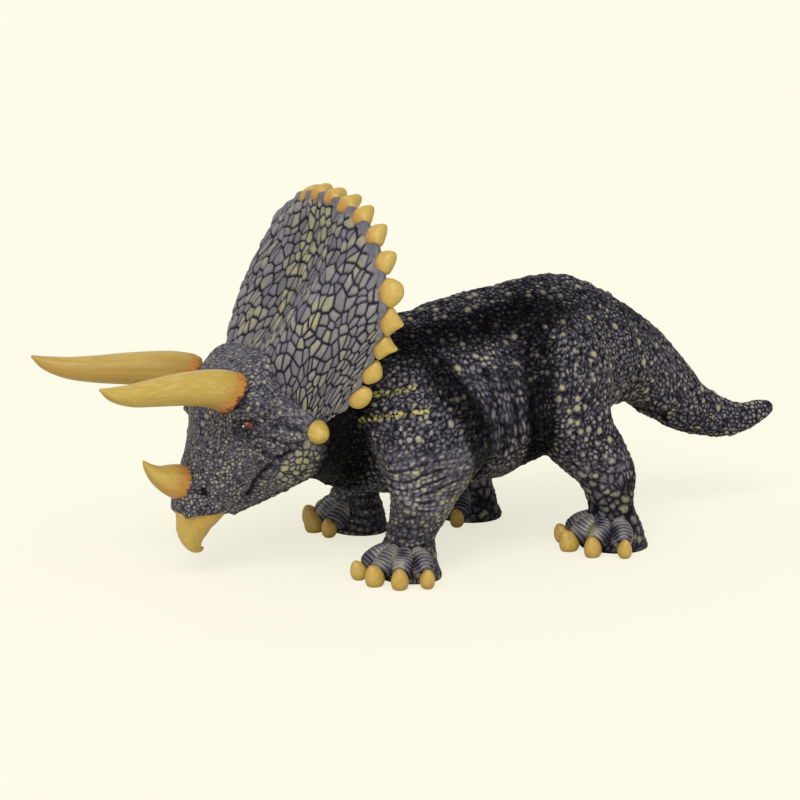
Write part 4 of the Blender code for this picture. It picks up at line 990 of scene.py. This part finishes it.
def frill_lines(count):
    """The shield's rim, root and sunk depth from the left lower end over the top to the right one."""
    rows = smooth(FRILL_SHARES, count)
    base = NECK + np.array((0, 0, FRILL_BASE_RISE))
    scale = np.array((-FRILL_DEPTH, FRILL_WIDTH / 2, FRILL_HEIGHT))
    rim = base + rows[:, [2, 0, 1]] * scale
    root = base + rows[:, [5, 3, 4]] * scale
    sunk = rows[:, 6] * FRILL_DEPTH
    mirror = np.array((1, -1, 1))
    rim = np.vstack([rim * mirror, rim[-2::-1]])
    root = np.vstack([root * mirror, root[-2::-1]])
    rise = (rim[:, 2] - base[2]) / FRILL_HEIGHT
    far = ease(rim[:, 1], 0, 5)
    low = far * ease(rise, -0.05, 0.12) * ease(rise, 0.72, 0.5)
    top = far * np.exp(-(((rise - 0.92) / 0.06) ** 2))
    rim = rim + low[:, None] * FRILL_TURN + top[:, None] * FRILL_TOP_TURN
    return rim, root, np.concatenate([sunk, sunk[-2::-1]]) * (1 - FRILL_FLATTENED * far)


def frill_piece(material):
    """The shield: its front from root to rim, a round rim, and its back. The front's scutes are cells
    of a lattice laid along the rim and from root to rim, longer that way near the rim."""
    rim, root, sunk = frill_lines(190)
    lengths = lengths_along(rim)
    even = np.linspace(0, lengths[-1], int(lengths[-1] / FRILL_STEP))
    rim, root = (
        np.stack([np.interp(even, lengths, line[:, k]) for k in range(3)], 1)
        for line in (rim, root)
    )
    sunk = np.interp(even, lengths, sunk)
    share = np.linspace(0, 1, int(FRILL_RUN / FRILL_STEP))[None, :]
    front = root[:, None] + (rim - root)[:, None] * share[..., None]
    front[..., 0] += sunk[:, None] * np.sin(math.pi * share)
    normal = grid_normals(front, False, front + np.array((1, 0, 0)))
    reach = np.linalg.norm(rim - root, axis=1)[:, None]
    around = even[:, None] - lengths[-1] / 2 + 0 * share
    outward = share * reach
    flat = np.stack([around * (0.45 + 0.55 * share), outward], -1)
    flat += 0.7 * np.stack([soft_noise(flat, 3.5, salt) for salt in (51.0, 52.0)], -1)
    lean = flat @ np.array(((1.0, 0.2), (-0.2, 1.0)))
    border, centre, number = cells(lean, SCUTE, 53.0, 0.85)
    plate = dome(border, 0.28) * (1 - 0.3 * centre**2)
    pebble_height, pebble, pebble_tint = scaly(front, knobs=0.1)
    pebbly = ease(outward, 7.0, 3.0)
    rim_gap = reach - outward
    edging = ease(rim_gap, 1.7 + 0.5 * soft_noise(flat, 2.0, 55.0), 1.1)
    height = 0.5 * plate * (0.6 + 0.6 * number) * (1 - pebbly) + pebble_height * pebbly
    flutes = 0.18 * np.cos(2 * math.pi * around / (lengths[-1] / (2 * STUDS_A_SIDE)))
    height = height * (1 - edging) + (0.3 + flutes + 0.4 * pebble_height) * edging
    relief = (plate * (1 - pebbly) + pebble * pebbly) * (1 - edging) + (0.6 + 0.25 * pebble) * edging
    tint = number * (1 - pebbly) + pebble_tint * pebbly
    middle = np.exp(-((around / 7.0) ** 2))
    low = ease(np.abs(around), 24, 32) * ease(rim_gap, 9, 6)
    tint = tint * (1 - 0.6 * low) + 0.6 * low
    olive = (0.1 + 0.6 * middle + 0.15 * pebbly - 0.15 * low) * (1 - edging)
    olive = np.clip(olive + 0.25 * soft_noise(front, 7.0, 54.0), 0, 1)
    # Darker towards the middle of the shield, away from the rim
    soot = 0.08 + 0.17 * np.exp(-((around / 16.0) ** 2)) * ease(rim_gap, 3.0, 8.0)
    face = front + normal * (height - 0.25)[..., None]
    back = (front - normal * FRILL_THICKNESS)[:, ::2]
    bend = np.linspace(0, math.pi, 14)[1:-1][None, :, None]
    out = unit(rim - root)[:, None]
    back_height, back_relief, back_tint = scaly(back, knobs=0.15)
    rear = back - normal[:, ::2] * (back_height - 0.25)[..., None]
    half = (face[:, -1:] - rear[:, -1:]) / 2
    bulge = out * np.linalg.norm(half, axis=-1, keepdims=True) * np.sin(bend) * 0.6
    turn = rear[:, -1:] + half + half * np.cos(bend) + bulge
    loop = np.concatenate([face, turn, rear[:, ::-1]], 1)
    pad = np.zeros((len(rim), turn.shape[1]))
    relief, tint, olive, soot = (
        np.concatenate([value, pad + flat_value, other[:, ::-1]], 1)
        for value, flat_value, other in (
            (relief, 0.75, back_relief), (tint, 0.2, back_tint),
            (olive, 0.05, 0.2 + 0 * back_tint), (soot, 0.1, 0.1 + 0 * back_tint),
        )
    )
    return skin_piece("frill_skin", loop, material, ("frill",), relief, tint, soot, olive)


# Rim studs from the top down: half length along the rim, reach outwards, squareness, lean and taper

STUD_FORMS = (
    (2.2, 2.5, 1.5, 0.0, 0.70), (2.6, 2.8, 1.4, 0.1, 0.80), (2.3, 2.5, 1.7, 0.3, 0.45),
    (2.3, 2.4, 1.8, 0.4, 0.40), (2.3, 2.3, 1.9, 0.4, 0.30), (2.85, 2.5, 2.4, 0.1, 0.28),
    (3.1, 2.5, 1.5, 0.0, 0.60), (2.9, 2.5, 1.5, 0.2, 0.70), (2.7, 2.0, 1.7, -0.2, 0.20),
    (2.5, 2.1, 2.2, 0.0, 0.0), (2.5, 2.1, 2.2, 0.0, 0.0),
)


def oval_grid(rings, sides):
    """Two angles of a ball: latitude down the rows and longitude round the columns."""
    latitude = np.linspace(-math.pi / 2, math.pi / 2, rings)[:, None] * 0.999
    return latitude, full_turn(sides)


def ball_grid(rings, sides):
    """Points of a ball of radius 1."""
    latitude, longitude = oval_grid(rings, sides)
    level = np.cos(latitude)
    return together(level * np.cos(longitude), level * np.sin(longitude), np.sin(latitude))


def stud_pieces(material):
    """Horny studs along the rim, pointed at the top and broad lower down: balls whose outline,
    seen from in front, is a superellipse of each stud's own squareness."""
    rim, _, _ = frill_lines(160)
    length = lengths_along(rim)
    total = 2 * STUDS_A_SIDE
    marks = length[-1] * (np.arange(total) + 0.5) / total
    latitude, longitude = oval_grid(26, 40)
    grids, feet = [], []
    for number, mark in enumerate(marks):
        order = min(number, total - 1 - number)
        half_long, reach, square, lean, taper = STUD_FORMS[STUDS_A_SIDE - 1 - order]
        point, ahead, behind = (
            np.array([np.interp(mark + step, length, rim[:, k]) for k in range(3)])
            for step in (0, STUD_WIDTH, -STUD_WIDTH)
        )
        along = unit(ahead - behind) * (1 if number < STUDS_A_SIDE else -1)
        radial = unit(np.cross((1, 0, 0), along))
        radial *= np.sign(radial @ (point - NECK))
        back = np.array((1.0, 0, 0))
        lean_back = STUD_LEAN + STUD_TOP_LEAN * ease(STUDS_A_SIDE - 1 - order, 4, 0)
        out = unit(radial * math.cos(lean_back) + back * math.sin(lean_back))
        thick = unit(np.cross(out, along))
        cos, sin = np.cos(longitude), np.sin(longitude)
        size = (np.abs(cos) ** square + np.abs(sin) ** square) ** (-1 / square)
        across = np.cos(latitude) ** 0.85
        flat_out = reach * size * sin * across
        flat_along = half_long * size * cos * across * (1 - taper * ease(flat_out, -0.3 * reach, reach))
        flat_along = flat_along + lean * np.maximum(flat_out, 0)
        middle = point + np.array((FRILL_THICKNESS * STUD_BACK_SHARE, 0, 0))
        if number >= STUDS_A_SIDE:
            hidden = ease(9 - order, 0, 2) * ease(9 - order, 9, 6)
            middle = middle + hidden * (STUD_SINK_BACK * back - STUD_SINK * radial)
        grid = middle + flat_along[..., None] * along + flat_out[..., None] * out
        grids.append(grid + (STUD_THICKNESS * np.sin(latitude) + 0 * longitude)[..., None] * thick)
        feet.append(5.5 + flat_out * 1.2)
    grains = [grid * 0.4 for grid in grids]
    # Painted shade, deeper towards the studs' inner ends
    shades = [ease(foot, 6.0, 3.5) for foot in feet]
    return horny_piece("frill_studs", grids, material, (), feet, grains, shades)


TOE_START_SHARE, TOE_START_RISE = 0.30, 5.6
TOE_SHARES = (
    (0.00, 0.60),
    (0.30, 0.86),
    (0.60, 1.00),
    (0.85, 0.98),
    (0.97, 0.72),
    (1.00, 0.30),
)
TOE_RADIUS, TOE_ARCH, TOE_RING_STEP, TOE_RING_DEPTH, NAIL_TAPER = 2.2, 0.7, 0.62, 0.035, 0.24


def toe_pieces(name, skin, horn):
    """The toes and nails of one foot: ringed lobes that run down from the ankle, and egg-shaped nails."""
    foot = np.array((*LEGS[name][0, [1, 2]], 0.0)) + TOE_SHIFT.get(name, (0, 0, 0))
    side = -1 if name.endswith("left") else 1
    step = FORE_TOE_STEP if name.startswith("fore") else HIND_TOE_STEP
    toes, nails, reliefs, nail_feet = [], [], [], []
    ball = ball_grid(40, 44)
    ball[..., :2] *= 1 - NAIL_TAPER * ball[..., 2:]
    for number in range(TOE_COUNT):
        angle = math.radians(TOE_OUT[name]) + (number - (TOE_COUNT - 1) / 2) * step
        way = np.array((-math.cos(angle), side * math.sin(angle), 0))
        across = np.array((-way[1], way[0], 0))
        rows = smooth(TOE_SHARES, 90)
        start = foot + way * FOOT_RADIUS * TOE_START_SHARE + (0, 0, TOE_START_RISE)
        end = foot + way * (FOOT_RADIUS + 0.4) + (0, 0, 2.2)
        share = rows[:, :1]
        path = start + (end - start) * share + np.sin(math.pi * share) * np.array((0, 0, TOE_ARCH))
        ways = unit(np.gradient(path, axis=0))
        upward = np.cross(across, ways)
        upward *= np.sign(upward[:, 2:])
        turn = full_turn(56)
        length = share * np.linalg.norm(end - start)
        place = together(length + 9 * number, TOE_RADIUS * np.cos(turn), TOE_RADIUS * np.sin(turn))
        shift = soft_noise(place, 2.0, 61.0)
        ring = np.abs(np.sin(math.pi * (length + 0.4 * shift) / TOE_RING_STEP))
        radius = rows[:, 1:] * TOE_RADIUS
        radius = radius * (1 + TOE_RING_DEPTH * (ring - 0.7) * ease(share, 1.0, 0.9))
        radius *= 1 + 0.06 * soft_noise(place, 1.1, 62.0) + 0.04 * shift
        toe = sweep(path, across, upward, radius * np.cos(turn), radius * np.sin(turn))
        toe[..., 2] = np.maximum(toe[..., 2], 0)
        toes.append(toe)
        reliefs.append(np.clip(0.3 + 0.42 * ring + 0.45 * shift, 0.08, 1))
        lean = np.stack([way * math.cos(TOE_SLOPE) + (0, 0, -math.sin(TOE_SLOPE)), across,
                         way * math.sin(TOE_SLOPE) + (0, 0, math.cos(TOE_SLOPE))])
        tip = foot + way * (FOOT_RADIUS + NAIL_SIZE[0]) + (0, 0, NAIL_RISE_SHARE * NAIL_SIZE[2])
        nail = (ball * NAIL_SIZE * NAIL_SHARES[number]) @ lean + tip
        nail[..., 2] = np.maximum(nail[..., 2], 0)
        nails.append(nail)
        nail_feet.append(6.0 - 2.0 * ball[..., 2])
    # Painted shade on the toes of the far hind foot
    far = 0.1 if name == "hindleg_right" else 0.0
    skin_piece(f"{name}_toes", toes, skin, (), reliefs, 0.5, far, 0.4)
    grains = [nail * 0.5 for nail in nails]
    # Painted shade, deeper towards the bottoms of the nails
    shades = [0.62 + 0.4 * ease(nail[..., 2], 1.6, 0.0) for nail in nails]
    horny_piece(f"{name}_nails", nails, horn, (), nail_feet, grains, shades)


EYE_SLANT, EYE_SHARES = math.radians(26), np.array((1.15, 0.98, 0.92))


def eye_pieces(material):
    """The two eyes, each with the way it looks as an attribute."""
    ball = ball_grid(60, 72)
    cos, sin = math.cos(EYE_SLANT), math.sin(EYE_SLANT)
    turn = np.array(((cos, 0, -sin), (0, 1, 0), (sin, 0, cos)))
    for side, side_name in ((-1, "left"), (1, "right")):
        reach, wide, rise = EYE_PLACE_SHARES
        almond = ball * (EYE_RADIUS * EYE_SHARES) @ turn.T
        grid = almond + head_place(reach, side * wide, rise) + (0.4, 0, 0.2)
        ahead = unit(np.array((-0.78, side * 0.68, 0.02)))
        shine = unit(np.array((-0.75, side * 0.72, 0.42)))
        add_piece(f"eye_{side_name}_paint", grid, material, "iris", (f"eye_{side_name}",),
                  pupil=ease(ball @ ahead, 0.72, 0.86), shine=ease(ball @ shine, 0.991, 0.997))


# Materials

def node(tree, kind, **settings):
    """A new node of a tree with its settings."""
    made = tree.nodes.new(kind)
    for key, value in settings.items():
        setattr(made, key, value)
    return made


def feed(tree, value, socket):
    """Links a socket to an input, or sets the input to a number or a colour."""
    if isinstance(value, bpy.types.NodeSocket):
        tree.links.new(value, socket)
    elif isinstance(value, tuple) and len(value) < len(socket.default_value):
        socket.default_value = (*value, 1)
    else:
        socket.default_value = value


def mix(tree, share, first, second):
    """A mix of two colours."""
    made = node(tree, "ShaderNodeMix", data_type="RGBA")
    for place, value in ((0, share), (6, first), (7, second)):
        feed(tree, value, made.inputs[place])
    return made.outputs[2]


def maths(operation):
    """A function that joins two values of a tree by one operation."""
    def join(tree, first, second):
        made = node(tree, "ShaderNodeMath", operation=operation)
        feed(tree, first, made.inputs[0])
        feed(tree, second, made.inputs[1])
        return made.outputs[0]
    return join


plus, minus, times = maths("ADD"), maths("SUBTRACT"), maths("MULTIPLY")


def step(tree, value, low, high):
    """0 below low, 1 above high and a smooth step between."""
    made = node(tree, "ShaderNodeMapRange", interpolation_type="SMOOTHSTEP")
    for place, number in ((0, value), (1, low), (2, high)):
        feed(tree, number, made.inputs[place])
    return made.outputs[0]


def noise(tree, vector, size, detail=3.0):
    """Cloudy noise around 0.5 of a size given in the vector's own unit."""
    made = node(tree, "ShaderNodeTexNoise")
    feed(tree, vector, made.inputs["Vector"])
    made.inputs["Scale"].default_value = 1 / size
    made.inputs["Detail"].default_value = detail
    return made.outputs[0]


def attribute(tree, name, field="Fac"):
    """A value that the points of a piece carry."""
    return node(tree, "ShaderNodeAttribute", attribute_name=name).outputs[field]


def new_group(name, inputs, outputs):
    """A shader node group with its inner ends."""
    tree = bpy.data.node_groups.new(name, "ShaderNodeTree")
    for direction, sockets in (("INPUT", inputs), ("OUTPUT", outputs)):
        for key, kind in sockets:
            tree.interface.new_socket(key, in_out=direction, socket_type=f"NodeSocket{kind}")
    return tree, node(tree, "NodeGroupInput").outputs, node(tree, "NodeGroupOutput").inputs


def use_group(tree, group, **inputs):
    """The outputs of a node group with its inputs fed."""
    made = node(tree, "ShaderNodeGroup", node_tree=group)
    for key, value in inputs.items():
        feed(tree, value, made.inputs[key])
    return made.outputs


def new_material(name):
    """A node material; returns it with its tree and its shader."""
    material = bpy.data.materials.new(name)
    material.use_nodes = True
    tree = material.node_tree
    return material, tree, tree.nodes["Principled BSDF"]


def grain_group():
    """Fine cloudy grain of moulded, brushed plastic: a mask and a bumped normal."""
    tree, given, out = new_group("grain", [("Depth", "Float")], [("Mask", "Float"), ("Normal", "Vector")])
    place = node(tree, "ShaderNodeTexCoord").outputs["Object"]
    fine = noise(tree, place, 0.35 * MM, 4.0)
    coarse = noise(tree, place, 1.6 * MM, 2.0)
    mask = plus(tree, times(tree, fine, 0.6), times(tree, coarse, 0.4))
    bump = node(tree, "ShaderNodeBump")
    feed(tree, given["Depth"], bump.inputs["Strength"])
    bump.inputs["Distance"].default_value = 0.12 * MM
    feed(tree, fine, bump.inputs["Height"])
    feed(tree, mask, out["Mask"])
    feed(tree, bump.outputs[0], out["Normal"])
    return tree


def dry_brush_group():
    """Paint that catches only raised places: more of it where the share is high."""
    tree, given, out = new_group(
        "dry_brush", [("Relief", "Float"), ("Share", "Float"), ("Grain", "Float")], [("Mask", "Float")])
    rough = plus(tree, given["Relief"], times(tree, minus(tree, given["Grain"], 0.5), 1.1))
    caught = step(tree, rough, 0.52, 0.98)
    feed(tree, times(tree, caught, step(tree, given["Share"], 0.0, 1.0)), out["Mask"])
    return tree


CREVICE, PURPLE, LILAC = (0.010, 0.008, 0.012), (0.062, 0.056, 0.078), (0.245, 0.230, 0.248)
OLIVE, CREAM, YELLOW = (0.200, 0.185, 0.055), (0.44, 0.41, 0.15), (0.42, 0.38, 0.12)
# Near black: the black airbrush of the folds, back and throat, and also painted shade
BLACK_AND_SHADE = (0.003, 0.002, 0.003)


def skin_material(grain, brush):
    """Grey-purple scales with black grooves of dark paint and painted shade, olive dry-brushed on top, and
    black airbrushed in the folds with painted shade under the body and tail and on the far hind leg.
    """
    material, tree, shader = new_material("skin_paint")
    relief, soot, tint, olive, stripe = (
        attribute(tree, key) for key in ("relief", "soot", "tint", "olive", "stripe"))
    texture = use_group(tree, grain, Depth=0.55)
    place = node(tree, "ShaderNodeTexCoord").outputs["Object"]
    cloud = noise(tree, place, 5.0 * MM, 3.0)
    pale = times(tree, texture["Mask"], plus(tree, tint, 0.6))
    base = mix(tree, times(tree, pale, step(tree, relief, 0.3, 0.95)), PURPLE, LILAC)
    # Near black in the grooves between scales: dark paint, with painted shade of the grooves
    colour = mix(tree, step(tree, relief, 0.05, 0.6), CREVICE, base)
    patches = minus(tree, times(tree, cloud, 2.0), 1.35)
    wanted = plus(tree, times(tree, tint, 0.7), patches)
    wanted = plus(tree, wanted, olive)
    brushed = use_group(tree, brush, Relief=relief, Share=wanted, Grain=texture["Mask"])["Mask"]
    paint = mix(tree, texture["Mask"], OLIVE, CREAM)
    colour = mix(tree, brushed, colour, paint)
    # Near black where the pieces ask for it: black airbrush, and painted shade under the body and tail and on
    # the far hind leg
    spared = times(tree, brushed, minus(tree, 0.85, times(tree, soot, 0.75)))
    dark = times(tree, soot, minus(tree, 1.0, spared))
    colour = mix(tree, dark, colour, BLACK_AND_SHADE)
    colour = mix(tree, times(tree, stripe, step(tree, relief, 0.1, 0.7)), colour, YELLOW)
    feed(tree, colour, shader.inputs["Base Color"])
    unblackened = minus(tree, 1.0, times(tree, dark, 0.75))
    sheen = times(tree, unblackened, step(tree, relief, 0.1, 0.9))
    feed(tree, times(tree, sheen, 0.6), shader.inputs["Specular IOR Level"])
    feed(tree, minus(tree, 0.62, times(tree, relief, 0.2)), shader.inputs["Roughness"])
    feed(tree, texture["Normal"], shader.inputs["Normal"])
    return material


# AMBER is the painted shade of the horny pieces
OCHRE, PALE_OCHRE, AMBER = (0.49, 0.33, 0.060), (0.57, 0.42, 0.12), (0.34, 0.200, 0.034)
ORANGE, RED, DARK_RED = (0.48, 0.17, 0.022), (0.36, 0.075, 0.025), (0.15, 0.020, 0.012)


def horn_material(grain):
    """Ochre paint with pale streaks, amber painted shade, and orange and a ragged dark red ring at the foot.
    """
    material, tree, shader = new_material("horn_paint")
    foot, shade, along = attribute(tree, "foot"), attribute(tree, "shade"), attribute(tree, "grain", "Vector")
    texture = use_group(tree, grain, Depth=0.25)
    streak = noise(tree, along, 0.16, 4.0)
    broad = noise(tree, along, 0.6, 2.0)
    colour = mix(tree, step(tree, streak, 0.45, 0.75), OCHRE, PALE_OCHRE)
    # Amber painted shade, as deep as the shade attribute asks
    shading = times(tree, step(tree, plus(tree, shade, broad), 0.9, 1.7), 0.75)
    colour = mix(tree, shading, colour, AMBER)
    ragged = minus(tree, foot, times(tree, minus(tree, streak, 0.5), 9.0))
    warmth = minus(tree, 0.7, times(tree, step(tree, ragged, 0.5, 5.5), 0.7))
    colour = mix(tree, warmth, colour, ORANGE)
    fringe = noise(tree, along, 0.09, 2.0)
    fading = minus(tree, 0.6, times(tree, step(tree, foot, 2.0, 7.5), 0.6))
    colour = mix(tree, times(tree, step(tree, fringe, 0.53, 0.66), fading), colour, RED)
    fringed = minus(tree, foot, times(tree, minus(tree, fringe, 0.5), 7.0))
    ring = minus(tree, 0.9, times(tree, step(tree, fringed, 0.0, 0.7), 0.9))
    colour = mix(tree, ring, colour, DARK_RED)
    feed(tree, colour, shader.inputs["Base Color"])
    feed(tree, plus(tree, 0.34, times(tree, texture["Mask"], 0.2)), shader.inputs["Roughness"])
    feed(tree, texture["Normal"], shader.inputs["Normal"])
    return material


IRIS_DARK, IRIS_RED = (0.10, 0.012, 0.010), (0.30, 0.045, 0.03)
PUPIL, SHINE = (0.004, 0.003, 0.003), (0.7, 0.68, 0.65)


def iris_material(grain):
    """Red-brown iris, black pupil and a painted white highlight."""
    material, tree, shader = new_material("iris_paint")
    texture = use_group(tree, grain, Depth=0.05)
    colour = mix(tree, texture["Mask"], IRIS_DARK, IRIS_RED)
    colour = mix(tree, attribute(tree, "pupil"), colour, PUPIL)
    colour = mix(tree, attribute(tree, "shine"), colour, SHINE)
    feed(tree, colour, shader.inputs["Base Color"])
    feed(tree, texture["Normal"], shader.inputs["Normal"])
    shader.inputs["Roughness"].default_value = 0.15
    return material


def place_camera():
    """The camera at the photograph's angle."""
    camera = bpy.data.cameras.new("camera")
    holder = new_object("camera", camera)
    level = math.cos(VIEW_ELEVATION)
    sideways, forwards = math.sin(VIEW_AZIMUTH) * level, -math.cos(VIEW_AZIMUTH) * level
    back = np.array((sideways, forwards, math.sin(VIEW_ELEVATION)))
    holder.location = VIEW_TARGET + VIEW_DISTANCE * back
    holder.rotation_euler = (math.pi / 2 - VIEW_ELEVATION, 0, VIEW_AZIMUTH)
    camera.lens = LENS
    camera.sensor_width = SENSOR
    camera.clip_start = 0.01
    bpy.context.scene.camera = holder


BACKGROUND, AMBIENT, AMBIENT_POWER = (0.991, 0.965, 0.807), (1, 0.99, 0.96), 0.42
LAMPS = (
    ("key", (-0.40, -0.55, 0.80), 1.9, 40),
    ("front", (-0.55, -0.80, 0.08), 0.9, 45),
    ("fill", (0.65, -0.45, 0.60), 0.35, 70),
    ("side", (-0.80, 0.25, 0.20), 0.35, 50),
    ("back", (0.10, 0.80, 0.60), 0.45, 60),
)


def light_up():
    """Soft studio light from above, and a pale world that the camera sees as the background."""
    scene = bpy.context.scene
    scene.view_settings.view_transform = "Standard"
    world = bpy.data.worlds.new("studio")
    scene.world = world
    world.use_nodes = True
    tree = world.node_tree
    tree.nodes.clear()
    path = node(tree, "ShaderNodeLightPath")
    seen, around = node(tree, "ShaderNodeBackground"), node(tree, "ShaderNodeBackground")
    seen.inputs[0].default_value = (*BACKGROUND, 1)
    around.inputs[0].default_value = (*AMBIENT, 1)
    around.inputs[1].default_value = AMBIENT_POWER
    choice = node(tree, "ShaderNodeMixShader")
    out = node(tree, "ShaderNodeOutputWorld")
    tree.links.new(path.outputs["Is Camera Ray"], choice.inputs[0])
    tree.links.new(around.outputs[0], choice.inputs[1])
    tree.links.new(seen.outputs[0], choice.inputs[2])
    tree.links.new(choice.outputs[0], out.inputs[0])
    for name, place, power, spread in LAMPS:
        lamp = bpy.data.lights.new(name, "SUN")
        lamp.energy = power
        lamp.angle = math.radians(spread)
        holder = new_object(name, lamp)
        aim = -np.array(place)
        tilt = math.atan2(math.hypot(aim[0], aim[1]), -aim[2])
        holder.rotation_euler = (tilt, 0, math.atan2(-aim[0], aim[1]))


FLOOR_REACH = 6.0
FLOOR_GLOW, FLOOR_PAPER = (0.721, 0.703, 0.590), (0.248, 0.241, 0.202)
FLOOR_BOUNCE = (0.80, 0.78, 0.66)


def lay_floor():
    """A plain pale floor of paper that glows a little, so that shadows on it stay faint."""
    mesh = bpy.data.meshes.new("floor")
    corners = [(x * FLOOR_REACH, y * FLOOR_REACH, 0) for x, y in ((-1, -1), (1, -1), (1, 1), (-1, 1))]
    mesh.from_pydata(corners, [], [(0, 1, 2, 3)])
    floor = new_object("floor", mesh)
    material, tree, shader = new_material("floor_paper")
    for key, value in (
        ("Base Color", FLOOR_PAPER), ("Emission Color", FLOOR_GLOW), ("Emission Strength", 1.0),
        ("Roughness", 1.0), ("Specular IOR Level", 0.0),
    ):
        feed(tree, value, shader.inputs[key])
    bounce = node(tree, "ShaderNodeBsdfDiffuse")
    bounce.inputs[0].default_value = (*FLOOR_BOUNCE, 1)
    choice = node(tree, "ShaderNodeMixShader")
    tree.links.new(node(tree, "ShaderNodeLightPath").outputs["Is Camera Ray"], choice.inputs[0])
    tree.links.new(bounce.outputs[0], choice.inputs[1])
    tree.links.new(shader.outputs[0], choice.inputs[2])
    tree.links.new(choice.outputs[0], tree.nodes["Material Output"].inputs[0])
    mesh.materials.append(material)


place_camera()
light_up()
lay_floor()
grain, brush = grain_group(), dry_brush_group()
skin, horn, iris = skin_material(grain, brush), horn_material(grain), iris_material(grain)
for side_name in ("left", "right"):
    trunk_piece(side_name, skin)
for name in LEGS:
    leg_piece(name, skin)
    toe_pieces(name, skin, horn)
tail_piece(skin)
head_piece(skin)
jaw_piece(skin)
frill_piece(skin)
stud_pieces(horn)
horn_pieces(horn)
beak_piece(horn)
eye_pieces(iris)
